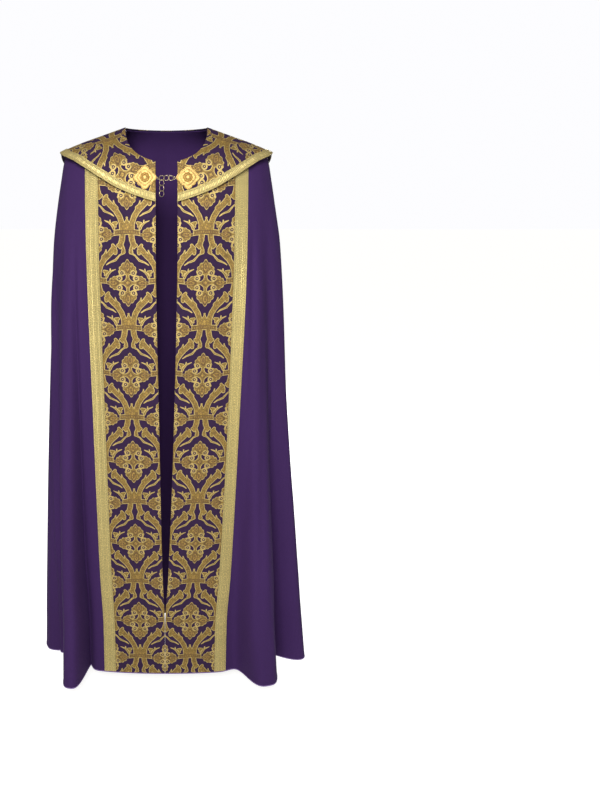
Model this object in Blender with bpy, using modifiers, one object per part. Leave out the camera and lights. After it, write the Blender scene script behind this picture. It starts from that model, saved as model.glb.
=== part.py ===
"""Cope: a long hooded church cloak, open down the front and closed by a clasp and chain.

The garment hangs as it is worn, hollow, with its front towards -Y and its origin between
the wearer's shoulders, level with the sides of the neck. Left and right are the wearer's.
Every cloth layer lies on one draped form: horizontal sections give its girth at each
height, folds move it out or in, and each layer above is the same surface moved outwards.
"""
import math

import bmesh
import bpy
import numpy as np
from mathutils import Matrix, Vector

# ---------------------------------------------------------------- sizes, in metres
HEM = -1.510                # height of the hem under the shoulder line
NECK_HALF_WIDTH = 0.103
NECK_DROP = 0.0855          # how far the neck hole dips at the front
ROUNDNESS = 2.3             # exponent of the superellipse that each section follows
HOLD = -0.090               # above this height the warp lines run straight to the neck

SEWN = 0.0004               # space between layers and between neighbours at a seam
WALL = 0.0020               # mantle cloth
ORPHREY_WALL = 0.0011
GALLOON_WALL = 0.0015
LINING_WALL = 0.0010
HOOD_WALL = 0.0012
HOOD_LIFT = 0.0048          # underside of the hood's lining over the draped form
EDGE_MARGIN = 0.004         # the bands stop this far above the hem

FRONT_BROCADE = 0.1430
FRONT_GALLOON = 0.0335
BACK_BROCADE = 0.0720       # half of the back orphrey's width
BACK_GALLOON = 0.0175
HOOD_GALLOON = 0.0190
BODY_GIRTH = 0.6200         # plain cloth between the front and back bands, at the hem
FRONT_BAND = FRONT_BROCADE + FRONT_GALLOON
BACK_BAND = BACK_BROCADE + BACK_GALLOON
HALF_GIRTH = FRONT_BAND + BODY_GIRTH + BACK_BAND

BODY_COLUMNS = 34
YOKE_DEPTH = -0.200         # above this height the rows fan out from the neck
YOKE_ROWS = (0.0, 0.05, 0.11, 0.18, 0.27, 0.40, 0.60, 0.80)
SKIRT_ROWS = 16
SPACING_HEIGHT = -1.360     # the columns are spaced evenly along the cloth at this height
FOLD_EASE = 0.12            # how slowly a fold grows where it starts
HOOD_COLUMNS = 24           # on each side
HOOD_ROWS = 11
HOOD_ROW_CROWDING = 1.7     # rows stand closer near the neck, where the cloth turns

RING_RADIUS = 0.0068        # centre line of the chain's rings
TAIL_RADIUS = 0.0075        # and of the spare rings that hang from it
EYE_RADIUS = 0.0032
WIRE_RADIUS = 0.0008
RING_SIDES = 14
WIRE_SIDES = 6
CHAIN_TURN = math.radians(35)   # each ring of the chain leans this far from upright
TAIL_TURN = math.radians(45)
HOOK_MOUTH = math.radians(50)
CHAIN_HEIGHT = -0.1205
CHAIN_OUT = -0.1290         # how far the chain stands in front of the shoulder line
CLEAR = 2 * WIRE_RADIUS + SEWN      # between the centre lines of two linked wires
RING_PITCH = 2 * RING_RADIUS - CLEAR
TAIL_PITCH = 2 * TAIL_RADIUS - CLEAR

PLATE_SIZE = 0.0585         # across two opposite lobes
PLATE_LOBE = 0.0095
PLATE_DIAMOND = 0.0245
PLATE_POINTS = 28
PLATE_SEAT = 0.0006
PLATE_HEIGHT = -0.1205

# horizontal sections of the draped form, from the neck down
SECTION_COLUMNS = ("height", "half_width", "front", "back")
MANTLE_SECTIONS = {
    "neck": (0.000, 0.103, 0.030, 0.070),
    "collar": (-0.020, 0.161, 0.050, 0.088),
    "shoulder": (-0.040, 0.219, 0.071, 0.100),
    "shoulder_turn": (-0.060, 0.2555, 0.090, 0.108),
    "front_neck": (-0.084, 0.2640, 0.107, 0.115),
    "upper_chest": (-0.120, 0.2710, 0.1185, 0.122),
    "chest": (-0.180, 0.2820, 0.126, 0.129),
    "elbow": (-0.300, 0.3010, 0.130, 0.137),
    "hip": (-0.600, 0.3250, 0.130, 0.150),
    "knee": (-1.000, 0.3490, 0.130, 0.172),
    "hem": (-1.510, 0.3720, 0.130, 0.205),
}
# the stiff hood keeps the slope of the shoulders and spreads past them
HOOD_SECTIONS = {
    "neck": (0.000, 0.103, 0.030, 0.070),
    "collar": (-0.020, 0.161, 0.050, 0.088),
    "shoulder": (-0.040, 0.219, 0.071, 0.100),
    "shoulder_tip": (-0.062, 0.2700, 0.092, 0.110),
    "past_the_tip": (-0.084, 0.3000, 0.108, 0.117),
    "upper_back": (-0.120, 0.3280, 0.120, 0.125),
    "shoulder_blade": (-0.180, 0.3450, 0.127, 0.132),
    "mid_back": (-0.300, 0.3600, 0.131, 0.140),
    "hood_point": (-0.480, 0.3800, 0.132, 0.149),
}
HOOD_CORE = (0.0, 0.0, -0.250)  # the hood's lines are cast onto its form from here

# outline of the hood, from its front edge over the shoulder tip to its point
OUTLINE_COLUMNS = ("face", "out", "height")
HOOD_OUTLINE = {
    "front_corner": ("front", 0.0265, -0.1770),
    "collar_fall": ("front", 0.0750, -0.1625),
    "collar_turn": ("front", 0.1200, -0.1445),
    "collar_rise": ("front", 0.1670, -0.1180),
    "over_orphrey": ("front", 0.2050, -0.0960),
    "before_tip": ("front", 0.2360, -0.0790),
    "shoulder_tip": ("tip", 0.2700, -0.0620),
    "behind_tip": ("back", 0.2710, -0.0830),
    "upper_side": ("back", 0.2690, -0.1020),
    "side": ("back", 0.2620, -0.1335),
    "lower_side": ("back", 0.2500, -0.1770),
    "flank": ("back", 0.2265, -0.2310),
    "curve": ("back", 0.1885, -0.2860),
    "run": ("back", 0.1340, -0.3560),
    "lower_run": ("back", 0.0885, -0.4045),
    "point": ("back", 0.0000, -0.4660),
}

# front edges, from the clasp to the hem: distance of each edge from the middle
EDGE_COLUMNS = ("height", "right", "left")
FRONT_EDGES = {
    "neck": (-0.084, -0.0262, 0.0274),
    "chest": (-0.270, -0.0268, 0.0278),
    "knee": (-0.745, -0.0194, 0.0202),
    "shin": (-1.200, -0.0105, 0.0050),
    "meeting": (-1.360, -0.0044, -0.0036),
    "hem": (HEM, -0.0042, -0.0034),
}

# folds of each side: place and width along the hem from the front edge, how far each
# stands out (or sinks in), how crisp it is, the height at which it starts, the degrees it
# leans to the middle and how much nearer the front edge it starts
FOLD_COLUMNS = ("place", "width", "depth", "crisp", "start", "lean", "drift")
LEFT_FOLDS = {
    "beside_orphrey": (0.200, 0.022, -0.010, 2.0, -0.30, 0, 0.0),
    "front_lobe": (0.270, 0.046, 0.094, 3.0, -0.16, 14, 0.080),
    "behind_lobe": (0.345, 0.032, -0.048, 2.2, -0.14, 0, 0.090),
    "arm_lobe": (0.414, 0.038, 0.052, 2.6, -0.16, 0, 0.050),
    "arm_draw": (0.440, 0.080, -0.080, 2.0, -0.25, 0, 0.0),
    "arm_spread": (0.440, 0.080, 0.080, 2.0, -0.62, 0, 0.0),
    "behind_arm": (0.490, 0.030, -0.020, 2.0, -0.20, 0, 0.0),
    "side_lobe": (0.570, 0.034, 0.044, 2.2, -0.22, 0, 0.0),
    "dark_valley": (0.632, 0.030, -0.034, 2.2, -0.15, 0, 0.0),
    "back_lobe": (0.700, 0.042, 0.036, 2.4, -0.31, 8, 0.0),
    "soft_valley": (0.762, 0.024, -0.012, 2.0, -0.42, 0, 0.0),
    "beside_back": (0.800, 0.024, 0.014, 2.0, -0.46, 0, 0.0),
}
RIGHT_FOLDS = {
    "beside_orphrey": (0.220, 0.014, -0.030, 2.0, -0.30, 0, 0.0),
    "front_lobe": (0.252, 0.026, 0.102, 4.0, -0.20, 14, 0.0),
    "behind_lobe": (0.325, 0.036, -0.050, 2.4, -0.16, 0, 0.0),
    "arm_hollow": (0.400, 0.048, -0.048, 2.4, -0.18, 0, 0.0),
    "side_lobe": (0.535, 0.050, 0.008, 2.4, -0.22, 0, 0.0),
    "dark_valley": (0.620, 0.030, -0.028, 2.0, -0.20, 0, 0.0),
    "back_lobe": (0.680, 0.036, 0.034, 2.2, -0.31, 6, 0.0),
    "soft_valley": (0.738, 0.026, -0.020, 2.0, -0.36, 0, 0.0),
    "beside_back": (0.788, 0.026, 0.016, 2.0, -0.46, 0, 0.0),
}

# a clasp plate from its back to its middle: scale of the outline and height
PLATE_COLUMNS = ("scale", "height")
PLATE_RELIEF = {
    "back": (1.00, 0.0),
    "edge": (1.00, 0.0018),
    "rim": (0.87, 0.0027),
    "field": (0.72, 0.0018),
    "boss_foot": (0.40, 0.0020),
    "boss": (0.22, 0.0042),
}

FINISH_COLUMNS = ("colour", "roughness", "metallic")
FINISHES = {
    "purple_cloth": ((0.060, 0.025, 0.122), 0.85, 0.0),
    "dark_lining": ((0.022, 0.010, 0.045), 0.80, 0.0),
    "brocade": ((0.300, 0.210, 0.060), 0.50, 0.4),
    "galloon": ((0.640, 0.520, 0.190), 0.45, 0.6),
    "gilt_metal": ((0.830, 0.580, 0.160), 0.28, 1.0),
}


# ---------------------------------------------------------------- tables and curves
def column(table, names, name):
    """One named column of a table, as an array."""
    return np.array([row[names.index(name)] for row in table.values()])


def table_rows(table, names):
    """The rows of a table, each as a dictionary of its named columns."""
    return [dict(zip(names, row)) for row in table.values()]


def smooth(at, known, values):
    """Read a column between its rows with a monotone cubic, held level past its ends."""
    known, values = np.asarray(known, float), np.asarray(values, float)
    if known[0] > known[-1]:
        known, values = known[::-1], values[::-1]
    step = np.diff(known)
    rise = np.diff(values) / step
    slope = np.zeros(len(known))
    same_way = rise[:-1] * rise[1:] > 0
    before, after = step[:-1][same_way], step[1:][same_way]
    near, far = rise[:-1][same_way], rise[1:][same_way]
    mean = 3 * (before + after) / ((2 * after + before) / near + (after + 2 * before) / far)
    slope[1:-1][same_way] = mean
    slope[0], slope[-1] = rise[0], rise[-1]
    at = np.clip(np.asarray(at, float), known[0], known[-1])
    i = np.clip(np.searchsorted(known, at, side="right") - 1, 0, len(step) - 1)
    t = (at - known[i]) / step[i]
    return (
        values[i] * (1 + 2 * t) * (1 - t) ** 2
        + slope[i] * step[i] * t * (1 - t) ** 2
        + values[i + 1] * t * t * (3 - 2 * t)
        + slope[i + 1] * step[i] * t * t * (t - 1)
    )


def section(sections, name, height):
    """A section's half width, front depth or back depth at a height."""
    known = column(sections, SECTION_COLUMNS, "height")
    return smooth(height, known, column(sections, SECTION_COLUMNS, name))


def signed_power(value, power):
    return np.sign(value) * np.abs(value) ** power


def angle_at(share):
    """Angle round a section, from the middle of the front, of a share of its half width."""
    share = np.clip(share, -1, 1)
    return np.arcsin(signed_power(share, ROUNDNESS / 2))


def on_section(sections, angle, height):
    """Point of the form, with its level outward direction, at an angle and a height."""
    wide = section(sections, "half_width", height)
    deep = np.where(
        np.cos(angle) > 0,
        section(sections, "front", height),
        section(sections, "back", height),
    )
    x = wide * signed_power(np.sin(angle), 2 / ROUNDNESS)
    y = -deep * signed_power(np.cos(angle), 2 / ROUNDNESS)
    out = np.stack(
        [
            signed_power(x / wide, ROUNDNESS - 1) / wide,
            signed_power(y / deep, ROUNDNESS - 1) / deep,
            np.zeros_like(x),
        ],
        axis=-1,
    )
    out /= np.linalg.norm(out, axis=-1, keepdims=True)
    return np.stack([x, y, np.broadcast_to(height, x.shape)], axis=-1), out


def neck_height(angle):
    """Height of the neck hole's edge at an angle round the form."""
    heights = np.linspace(-NECK_DROP * 0.999, 0, 200)
    across = (1 - (-heights / NECK_DROP) ** ROUNDNESS) ** (1 / ROUNDNESS)
    wide = section(MANTLE_SECTIONS, "half_width", heights)
    angles = angle_at(NECK_HALF_WIDTH * across / wide)
    return np.where(angle < math.pi / 2, np.interp(angle, angles, heights), 0.0)


# ---------------------------------------------------------------- the mantle's surface
def front_edge(side, height):
    """Distance of a front edge from the middle, counted towards its own side."""
    name = "left" if side > 0 else "right"
    known = column(FRONT_EDGES, EDGE_COLUMNS, "height")
    return side * smooth(height, known, column(FRONT_EDGES, EDGE_COLUMNS, name))


def warp_angle(side, girth, height):
    """Angle round the form of the warp line that meets the hem at a girth."""
    held = np.minimum(height, HOLD)
    wide = section(MANTLE_SECTIONS, "half_width", held)
    edge = front_edge(side, held)
    front = angle_at((edge + girth) / wide)
    back = math.pi - angle_at((HALF_GIRTH - girth + SEWN / 2) / wide)
    first = angle_at((edge + FRONT_BAND) / wide)
    last = math.pi - angle_at((BACK_BAND + SEWN / 2) / wide)
    between = first + (last - first) * (girth - FRONT_BAND) / BODY_GIRTH
    in_back = girth > FRONT_BAND + BODY_GIRTH
    return np.where(girth < FRONT_BAND, front, np.where(in_back, back, between))


def mantle_point(side, girth, height):
    """Point of the mantle's inner face, folds and all."""
    girth, height = np.broadcast_arrays(np.asarray(girth, float), np.asarray(height, float))
    point, out = on_section(MANTLE_SECTIONS, warp_angle(side, girth, height), height)
    along = np.stack([-out[..., 1], out[..., 0], out[..., 2]], axis=-1)
    for fold in table_rows(LEFT_FOLDS if side > 0 else RIGHT_FOLDS, FOLD_COLUMNS):
        grown = np.clip((fold["start"] - height) / (fold["start"] - HEM), 0, 1)
        place = fold["place"] - fold["drift"] * (1 - grown)
        grown = grown * grown * (1 + FOLD_EASE) / (grown + FOLD_EASE)
        off = np.abs((girth - place) / fold["width"])
        bump = fold["depth"] * grown * np.exp(-(off ** fold["crisp"]))
        turn = math.radians(fold["lean"])
        point = point + bump[..., None] * (out * math.cos(turn) - along * math.sin(turn))
    return point * (side, 1, 1)


def moved_out(surface, across, down, lift, step=0.002, top=0.0):
    """Points of a surface moved along its outward normal."""
    point = surface(across, down)
    side_way = surface(across + step, down) - surface(across - step, down)
    down_way = surface(across, np.minimum(down + step, top)) - surface(across, down - step)
    normal = np.cross(side_way, down_way)
    normal /= np.linalg.norm(normal, axis=-1, keepdims=True)
    middle = point * (1, 1, 0)
    outward = np.sign((normal * middle).sum(-1, keepdims=True).sum())
    return point + normal * lift * outward


def row_heights(side, girth, first_row=0, last=HEM):
    """Heights of the rows of a warp line: fanned over the yoke, then level to the hem."""
    top = neck_height(warp_angle(side, girth, HOLD))
    yoke = [top + (YOKE_DEPTH - top) * share for share in YOKE_ROWS[first_row:]]
    skirt = [
        np.full_like(girth, height)
        for height in np.linspace(YOKE_DEPTH, HEM, SKIRT_ROWS + 1)
    ]
    skirt[-1] = np.full_like(girth, last)
    return np.array(yoke + skirt)


def mantle_layer(side, girths, lift, first_row=0, last=HEM):
    """Rows and columns of points of one layer that lies on the mantle."""
    girths = np.asarray(girths, float)
    heights = row_heights(side, girths, first_row, last)
    across = np.broadcast_to(girths, heights.shape)
    return moved_out(lambda g, z: mantle_point(side, g, z), across, heights, lift)


def body_girths(side):
    """Columns of the plain cloth, even along its folds near the hem."""
    fine = np.linspace(FRONT_BAND, FRONT_BAND + BODY_GIRTH, 600)
    line = mantle_point(side, fine, np.full_like(fine, SPACING_HEIGHT))
    along = np.concatenate([[0], np.cumsum(np.linalg.norm(np.diff(line, axis=0), axis=1))])
    return np.interp(np.linspace(0, along[-1], BODY_COLUMNS + 1), along, fine)


FRONT_COLUMNS = np.linspace(0, FRONT_BROCADE, 5)
BACK_COLUMNS = HALF_GIRTH - np.array([BACK_BROCADE, BACK_BROCADE / 2, 0])


# ---------------------------------------------------------------- the hood's surface
def even_along(points, shares):
    """Points at shares of the length of a line of points."""
    along = np.concatenate([[0], np.cumsum(np.linalg.norm(np.diff(points, axis=0), axis=1))])
    along /= along[-1]
    return np.stack([np.interp(shares, along, axis) for axis in points.T], axis=-1)


def hood_outline():
    """A fine line along half of the hood's edge, and the share of it before the tip."""
    heights = column(HOOD_OUTLINE, OUTLINE_COLUMNS, "height").astype(float)
    out = column(HOOD_OUTLINE, OUTLINE_COLUMNS, "out").astype(float)
    faces = column(HOOD_OUTLINE, OUTLINE_COLUMNS, "face")
    angles = angle_at(out / section(HOOD_SECTIONS, "half_width", heights))
    angles[faces == "back"] = math.pi - angles[faces == "back"]
    angles[faces == "tip"] = math.pi / 2
    points = on_section(HOOD_SECTIONS, angles, heights)[0]
    steps = np.linalg.norm(np.diff(points, axis=0), axis=1)
    along = np.concatenate([[0], np.cumsum(steps)]) / steps.sum()
    fine = np.linspace(0, 1, 500)
    line = on_section(HOOD_SECTIONS, smooth(fine, along, angles), smooth(fine, along, heights))
    return line[0], along[list(faces).index("tip")]


def hood_neck(first_angle, last_angle, shares):
    """Points of the neck hole's edge between two angles round the form."""
    angles = np.linspace(first_angle, last_angle, 300)
    edge = on_section(MANTLE_SECTIONS, angles, neck_height(angles))[0]
    return even_along(edge, shares)


def cast_on_hood(points):
    """Cast points outwards from the core onto the hood's form, by halving the way."""
    core = np.array(HOOD_CORE)
    inner, outer = np.zeros(points.shape[:-1]), np.full(points.shape[:-1], 3.0)
    for _ in range(45):
        half = (inner + outer) / 2
        x, y, z = np.moveaxis(core + (points - core) * half[..., None], -1, 0)
        deep = section(HOOD_SECTIONS, "back", z)
        deep = np.where(y < 0, section(HOOD_SECTIONS, "front", z), deep)
        wide = section(HOOD_SECTIONS, "half_width", z)
        size = np.abs(x / wide) ** ROUNDNESS + np.abs(y / deep) ** ROUNDNESS
        inside = (size < 1) & (z <= 0)
        inner, outer = np.where(inside, half, inner), np.where(inside, outer, half)
    return core + (points - core) * inner[..., None]


OUTLINE, TIP_SHARE = hood_outline()
FIRST_ANGLE = angle_at(OUTLINE[0, 0] / section(MANTLE_SECTIONS, "half_width", HOLD))


def hood_point(share, down):
    """Point of the hood's form; down runs from 0 at the neck to 1 at the outline."""
    edge = even_along(OUTLINE, share)
    front = hood_neck(FIRST_ANGLE, math.pi / 2, share / TIP_SHARE)
    back = hood_neck(math.pi / 2, math.pi, (share - TIP_SHARE) / (1 - TIP_SHARE))
    neck = np.where((share < TIP_SHARE)[..., None], front, back)
    return cast_on_hood(neck + (edge - neck) * down[..., None])


def galloon_share(shares):
    """How far up each line, as a share of it, the braid on the hood's edge reaches."""
    step = 0.002
    ends = np.ones_like(shares)
    before, after = np.maximum(shares - step, 0), np.minimum(shares + step, 1)
    edge_way = hood_point(after, ends) - hood_point(before, ends)
    edge_way /= np.linalg.norm(edge_way, axis=-1, keepdims=True)
    line_way = (hood_point(shares, ends) - hood_point(shares, ends - 0.05)) / 0.05
    across = line_way - edge_way * (line_way * edge_way).sum(-1, keepdims=True)
    return HOOD_GALLOON / np.linalg.norm(across, axis=-1)


def hood_layer(lift, only_edge=False):
    """Rows and columns of points of one layer of the hood, over both shoulders."""
    half = np.linspace(0, 1, HOOD_COLUMNS + 1)
    inner = 1 - galloon_share(half)
    shares = np.linspace(0, 1, HOOD_ROWS) ** HOOD_ROW_CROWDING
    rows = [inner * share for share in shares] + [np.ones_like(inner)]
    if only_edge:
        rows = rows[-2:]
    down = np.array(rows)
    across = np.broadcast_to(half, down.shape)
    step = 0.004
    point = hood_point(across, down)
    side_way = hood_point(np.minimum(across + step, 1), down)
    side_way = side_way - hood_point(np.maximum(across - step, 0), down)
    down_way = hood_point(across, np.minimum(down + step, 1.0))
    down_way = down_way - hood_point(across, np.maximum(down - step, 0))
    normal = np.cross(down_way, side_way)
    normal /= np.linalg.norm(normal, axis=-1, keepdims=True)
    normal[:, -1, 0] = 0
    normal /= np.linalg.norm(normal, axis=-1, keepdims=True)
    left = point + normal * lift
    left[:, -1, 0] = 0
    right = left[:, -2::-1] * (-1, 1, 1)
    return np.concatenate([left, right], axis=1)


# ---------------------------------------------------------------- building pieces
def material(name):
    """The material of a finish, made once."""
    found = bpy.data.materials.get(name)
    if found:
        return found
    finish = dict(zip(FINISH_COLUMNS, FINISHES[name]))
    made = bpy.data.materials.new(name)
    made.use_nodes = True
    shader = made.node_tree.nodes["Principled BSDF"]
    shader.inputs["Base Color"].default_value = (*finish["colour"], 1)
    shader.inputs["Roughness"].default_value = finish["roughness"]
    shader.inputs["Metallic"].default_value = finish["metallic"]
    made.diffuse_color = (*finish["colour"], 1)
    return made


def add_object(name, mesh, finish, collection):
    """An object for a mesh, with its material, in the part's collection."""
    made = bpy.data.objects.new(name, mesh)
    made.data.materials.append(material(finish))
    collection.objects.link(made)
    return made


def add_cloth(name, points, wall, finish, collection):
    """A panel of cloth: a grid laid on its points, thickened outwards by Solidify."""
    rows, columns = points.shape[:2]
    shape = bmesh.new()
    bmesh.ops.create_grid(shape, x_segments=columns - 1, y_segments=rows - 1, size=1)
    for vertex in shape.verts:
        i = round((vertex.co.x + 1) / 2 * (columns - 1))
        j = round((vertex.co.y + 1) / 2 * (rows - 1))
        vertex.co = points[j, i]
    shape.normal_update()
    middle = Vector((0, 0, points[..., 2].mean()))
    if sum(face.normal.dot(face.calc_center_median() - middle) for face in shape.faces) < 0:
        bmesh.ops.reverse_faces(shape, faces=shape.faces)
    mesh = bpy.data.meshes.new(name)
    shape.to_mesh(mesh)
    shape.free()
    mesh.shade_smooth()
    made = add_object(name, mesh, finish, collection)
    thick = made.modifiers.new("wall", "SOLIDIFY")
    thick.thickness = wall
    thick.offset = 1
    thick.use_even_offset = True
    thick.use_quality_normals = True
    return made


def add_mantle(collection):
    """The two halves of the plain cloth, meeting at the centre back seam."""
    for side, name in ((1, "left"), (-1, "right")):
        girths = np.concatenate(
            [FRONT_COLUMNS[:-1], [FRONT_BROCADE + SEWN / 2], body_girths(side), BACK_COLUMNS]
        )
        points = mantle_layer(side, girths, 0)
        add_cloth(f"mantle_{name}", points, WALL, "purple_cloth", collection)


def add_bands(collection):
    """Brocade orphreys and their galloons, down both fronts and down the back."""
    lift = WALL + SEWN
    last = HEM + EDGE_MARGIN
    for side, name in ((1, "left"), (-1, "right")):
        brocade = mantle_layer(side, FRONT_COLUMNS, lift, 1, last)
        add_cloth(f"orphrey_front_{name}", brocade, ORPHREY_WALL, "brocade", collection)
        strip = (FRONT_BROCADE + SEWN, FRONT_BAND - SEWN)
        braid = mantle_layer(side, strip, lift, 1, last)
        add_cloth(f"galloon_front_{name}", braid, GALLOON_WALL, "galloon", collection)
        strip = (HALF_GIRTH - BACK_BAND + SEWN, HALF_GIRTH - BACK_BROCADE - SEWN)
        braid = mantle_layer(side, strip, lift, 1, last)
        add_cloth(f"galloon_back_{name}", braid, GALLOON_WALL, "galloon", collection)
    half = mantle_layer(1, BACK_COLUMNS, lift, 1, last)
    half[:, -1, 0] = 0
    other = mantle_layer(-1, BACK_COLUMNS, lift, 1, last)[:, -2::-1]
    whole = np.concatenate([half, other], axis=1)
    add_cloth("orphrey_back", whole, ORPHREY_WALL, "brocade", collection)


def add_hood(collection):
    """Hood and collar in one piece, its lining under it and its galloon on its edge."""
    hood_lift = HOOD_LIFT + LINING_WALL + SEWN
    braid = hood_layer(hood_lift + HOOD_WALL + SEWN, only_edge=True)
    add_cloth("hood_lining", hood_layer(HOOD_LIFT), LINING_WALL, "dark_lining", collection)
    add_cloth("hood", hood_layer(hood_lift), HOOD_WALL, "brocade", collection)
    add_cloth("hood_galloon", braid, GALLOON_WALL, "galloon", collection)


def ring_matrix(centre, across, up):
    """Placement of a ring with a centre, whose plane holds two directions."""
    across, up = Vector(across).normalized(), Vector(up).normalized()
    axes = Matrix((across, up, across.cross(up))).transposed().to_4x4()
    return Matrix.Translation(centre) @ axes


def add_ring(name, radius, centre, across, up, collection):
    """One closed wire ring, with its plane through two directions."""
    bpy.ops.mesh.primitive_torus_add(
        major_segments=RING_SIDES,
        minor_segments=WIRE_SIDES,
        major_radius=radius,
        minor_radius=WIRE_RADIUS,
    )
    made = bpy.context.object
    for old in list(made.users_collection):
        old.objects.unlink(made)
    collection.objects.link(made)
    made.name = made.data.name = name
    made.data.materials.append(material("gilt_metal"))
    made.data.shade_smooth()
    made.matrix_world = ring_matrix(Vector(centre), across, up)
    return made


def add_hook(name, centre, across, up, collection):
    """The clasp's hook: an open ring of wire with its mouth upwards."""
    curve = bpy.data.curves.new(name, "CURVE")
    curve.dimensions = "3D"
    curve.bevel_depth = WIRE_RADIUS
    curve.bevel_resolution = 1
    curve.use_fill_caps = True
    spline = curve.splines.new("POLY")
    spline.points.add(RING_SIDES - 1)
    start = math.pi / 2 + HOOK_MOUTH / 2
    for i, point in enumerate(spline.points):
        turn = start + (2 * math.pi - HOOK_MOUTH) * i / (RING_SIDES - 1)
        point.co = (EYE_RADIUS * math.cos(turn), EYE_RADIUS * math.sin(turn), 0, 1)
    made = add_object(name, curve, "gilt_metal", collection)
    made.matrix_world = ring_matrix(Vector(centre), across, up)
    return made


def lean(turn):
    """An upward direction that leans out to the front, square to the chain."""
    return (0, -math.sin(turn), math.cos(turn))


def add_chain(collection):
    """Three rings across the opening, with the hook at one end and an eye at the other.

    Gives back how far the chain reaches to each side.
    """
    reach = RING_PITCH + RING_RADIUS - CLEAR + EYE_RADIUS
    level = (CHAIN_OUT, CHAIN_HEIGHT)
    along = (1, 0, 0)
    add_hook("clasp_hook", (-reach, *level), along, lean(CHAIN_TURN), collection)
    for i in range(3):
        centre = ((i - 1) * RING_PITCH, *level)
        up = lean(-CHAIN_TURN if i % 2 == 0 else CHAIN_TURN)
        add_ring(f"clasp_ring_{i + 1}", RING_RADIUS, centre, along, up, collection)
    add_ring("clasp_eye", EYE_RADIUS, (reach, *level), along, lean(CHAIN_TURN), collection)
    return reach + EYE_RADIUS + WIRE_RADIUS


def tail_hinges():
    """Where each spare ring hangs, and the direction of the wire that it hangs on."""
    bottom = Vector((-RING_PITCH, CHAIN_OUT, CHAIN_HEIGHT))
    bottom += Vector((0, -math.sin(CHAIN_TURN), -math.cos(CHAIN_TURN))) * RING_RADIUS
    one_way = Vector((math.cos(TAIL_TURN), math.sin(TAIL_TURN), 0))
    other_way = Vector((math.cos(TAIL_TURN), -math.sin(TAIL_TURN), 0))
    wires = (Vector((1, 0, 0)), one_way, other_way)
    return [(bottom - Vector((0, 0, i * TAIL_PITCH)), wire) for i, wire in enumerate(wires)]


def add_tail(collection):
    """Three spare rings that hang from the chain's first ring, one from another."""
    for i, (pivot, _) in enumerate(tail_hinges()):
        turn = TAIL_TURN if i % 2 == 0 else -TAIL_TURN
        across = (math.cos(turn), math.sin(turn), 0)
        centre = pivot - Vector((0, 0, TAIL_RADIUS - CLEAR))
        ring = add_ring(f"tail_ring_{i + 1}", TAIL_RADIUS, centre, across, (0, 0, 1), collection)
        hang = ring.matrix_world.copy()
        ring.matrix_world = Matrix.Translation(pivot)
        ring.data.transform(Matrix.Translation(-pivot) @ hang)


def front_of_hood(x, height):
    """Point of the hood's form on its front at a distance from the middle."""
    angle = angle_at(np.array(x) / section(HOOD_SECTIONS, "half_width", height))
    return Vector(on_section(HOOD_SECTIONS, angle, np.array(height))[0])


def plate_radius(turn):
    """Outline of a clasp plate: four round lobes on a diamond."""
    off = (turn + math.pi / 4) % (math.pi / 2) - math.pi / 4
    centre = PLATE_SIZE / 2 - PLATE_LOBE
    diamond = PLATE_DIAMOND / (math.cos(off) + abs(math.sin(off)))
    inside = PLATE_LOBE**2 - (centre * math.sin(off)) ** 2
    if inside <= 0:
        return diamond
    return max(diamond, centre * math.cos(off) + math.sqrt(inside))


def add_plate(side, name, reach, collection):
    """A clasp plate: its outline drawn up through rim, field and boss, seated on the collar."""
    shape = bmesh.new()
    rings = [
        bmesh.ops.create_circle(shape, segments=PLATE_POINTS, radius=1)["verts"]
        for _ in PLATE_RELIEF
    ]
    for ring, level in zip(rings, table_rows(PLATE_RELIEF, PLATE_COLUMNS)):
        for i, vertex in enumerate(ring):
            turn = 2 * math.pi * i / PLATE_POINTS
            out = plate_radius(turn) * level["scale"]
            vertex.co = (out * math.cos(turn), out * math.sin(turn), level["height"])
    for edge in list(shape.edges):
        shape.edges.remove(edge)
    for lower, upper in zip(rings, rings[1:]):
        for i in range(PLATE_POINTS):
            j = (i + 1) % PLATE_POINTS
            shape.faces.new((lower[i], lower[j], upper[j], upper[i]))
    shape.faces.new(rings[0][::-1])
    shape.faces.new(rings[-1])
    mesh = bpy.data.meshes.new(name)
    shape.to_mesh(mesh)
    shape.free()
    made = add_object(name, mesh, "gilt_metal", collection)
    middle = reach + PLATE_SIZE / 2
    step = 0.001
    seat = front_of_hood(middle, PLATE_HEIGHT)
    across = front_of_hood(middle + step, PLATE_HEIGHT) - seat
    up = (front_of_hood(middle, PLATE_HEIGHT + step) - seat).normalized()
    out = across.cross(up).normalized()
    up, out, seat = (axis * Vector((side, 1, 1)) for axis in (up, out, seat))
    lift = HOOD_LIFT + LINING_WALL + SEWN + HOOD_WALL + PLATE_SEAT
    axes = Matrix((up.cross(out), up, out)).transposed().to_4x4()
    made.matrix_world = Matrix.Translation(seat + out * lift) @ axes


def add_clasp(collection):
    """The clasp: a gilt plate on each side of the collar, chain, hook and spare rings."""
    reach = add_chain(collection)
    add_tail(collection)
    for side, name in ((1, "left"), (-1, "right")):
        add_plate(side, f"clasp_plate_{name}", reach, collection)


def main():
    for old in list(bpy.data.objects):
        bpy.data.objects.remove(old, do_unlink=True)
    collection = bpy.data.collections.new("cope")
    bpy.context.scene.collection.children.link(collection)
    add_mantle(collection)
    add_bands(collection)
    add_hood(collection)
    add_clasp(collection)


main()
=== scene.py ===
"""Dressed model of a cope: a purple processional cloak with brocade orphreys and hood.

Every cloth piece is a thin shell on the garment's one draped form. The form comes from level
sections, the folds move it out or in, and each layer above is the same surface moved out.
Left and right are the wearer's, the front faces -Y, and all lengths are in metres.
"""
import math

import bmesh
import bpy
import numpy as np
from bpy.props import FloatProperty, FloatVectorProperty, PointerProperty
from bpy.types import Operator, Panel, PropertyGroup
from mathutils import Matrix, Vector


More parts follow.
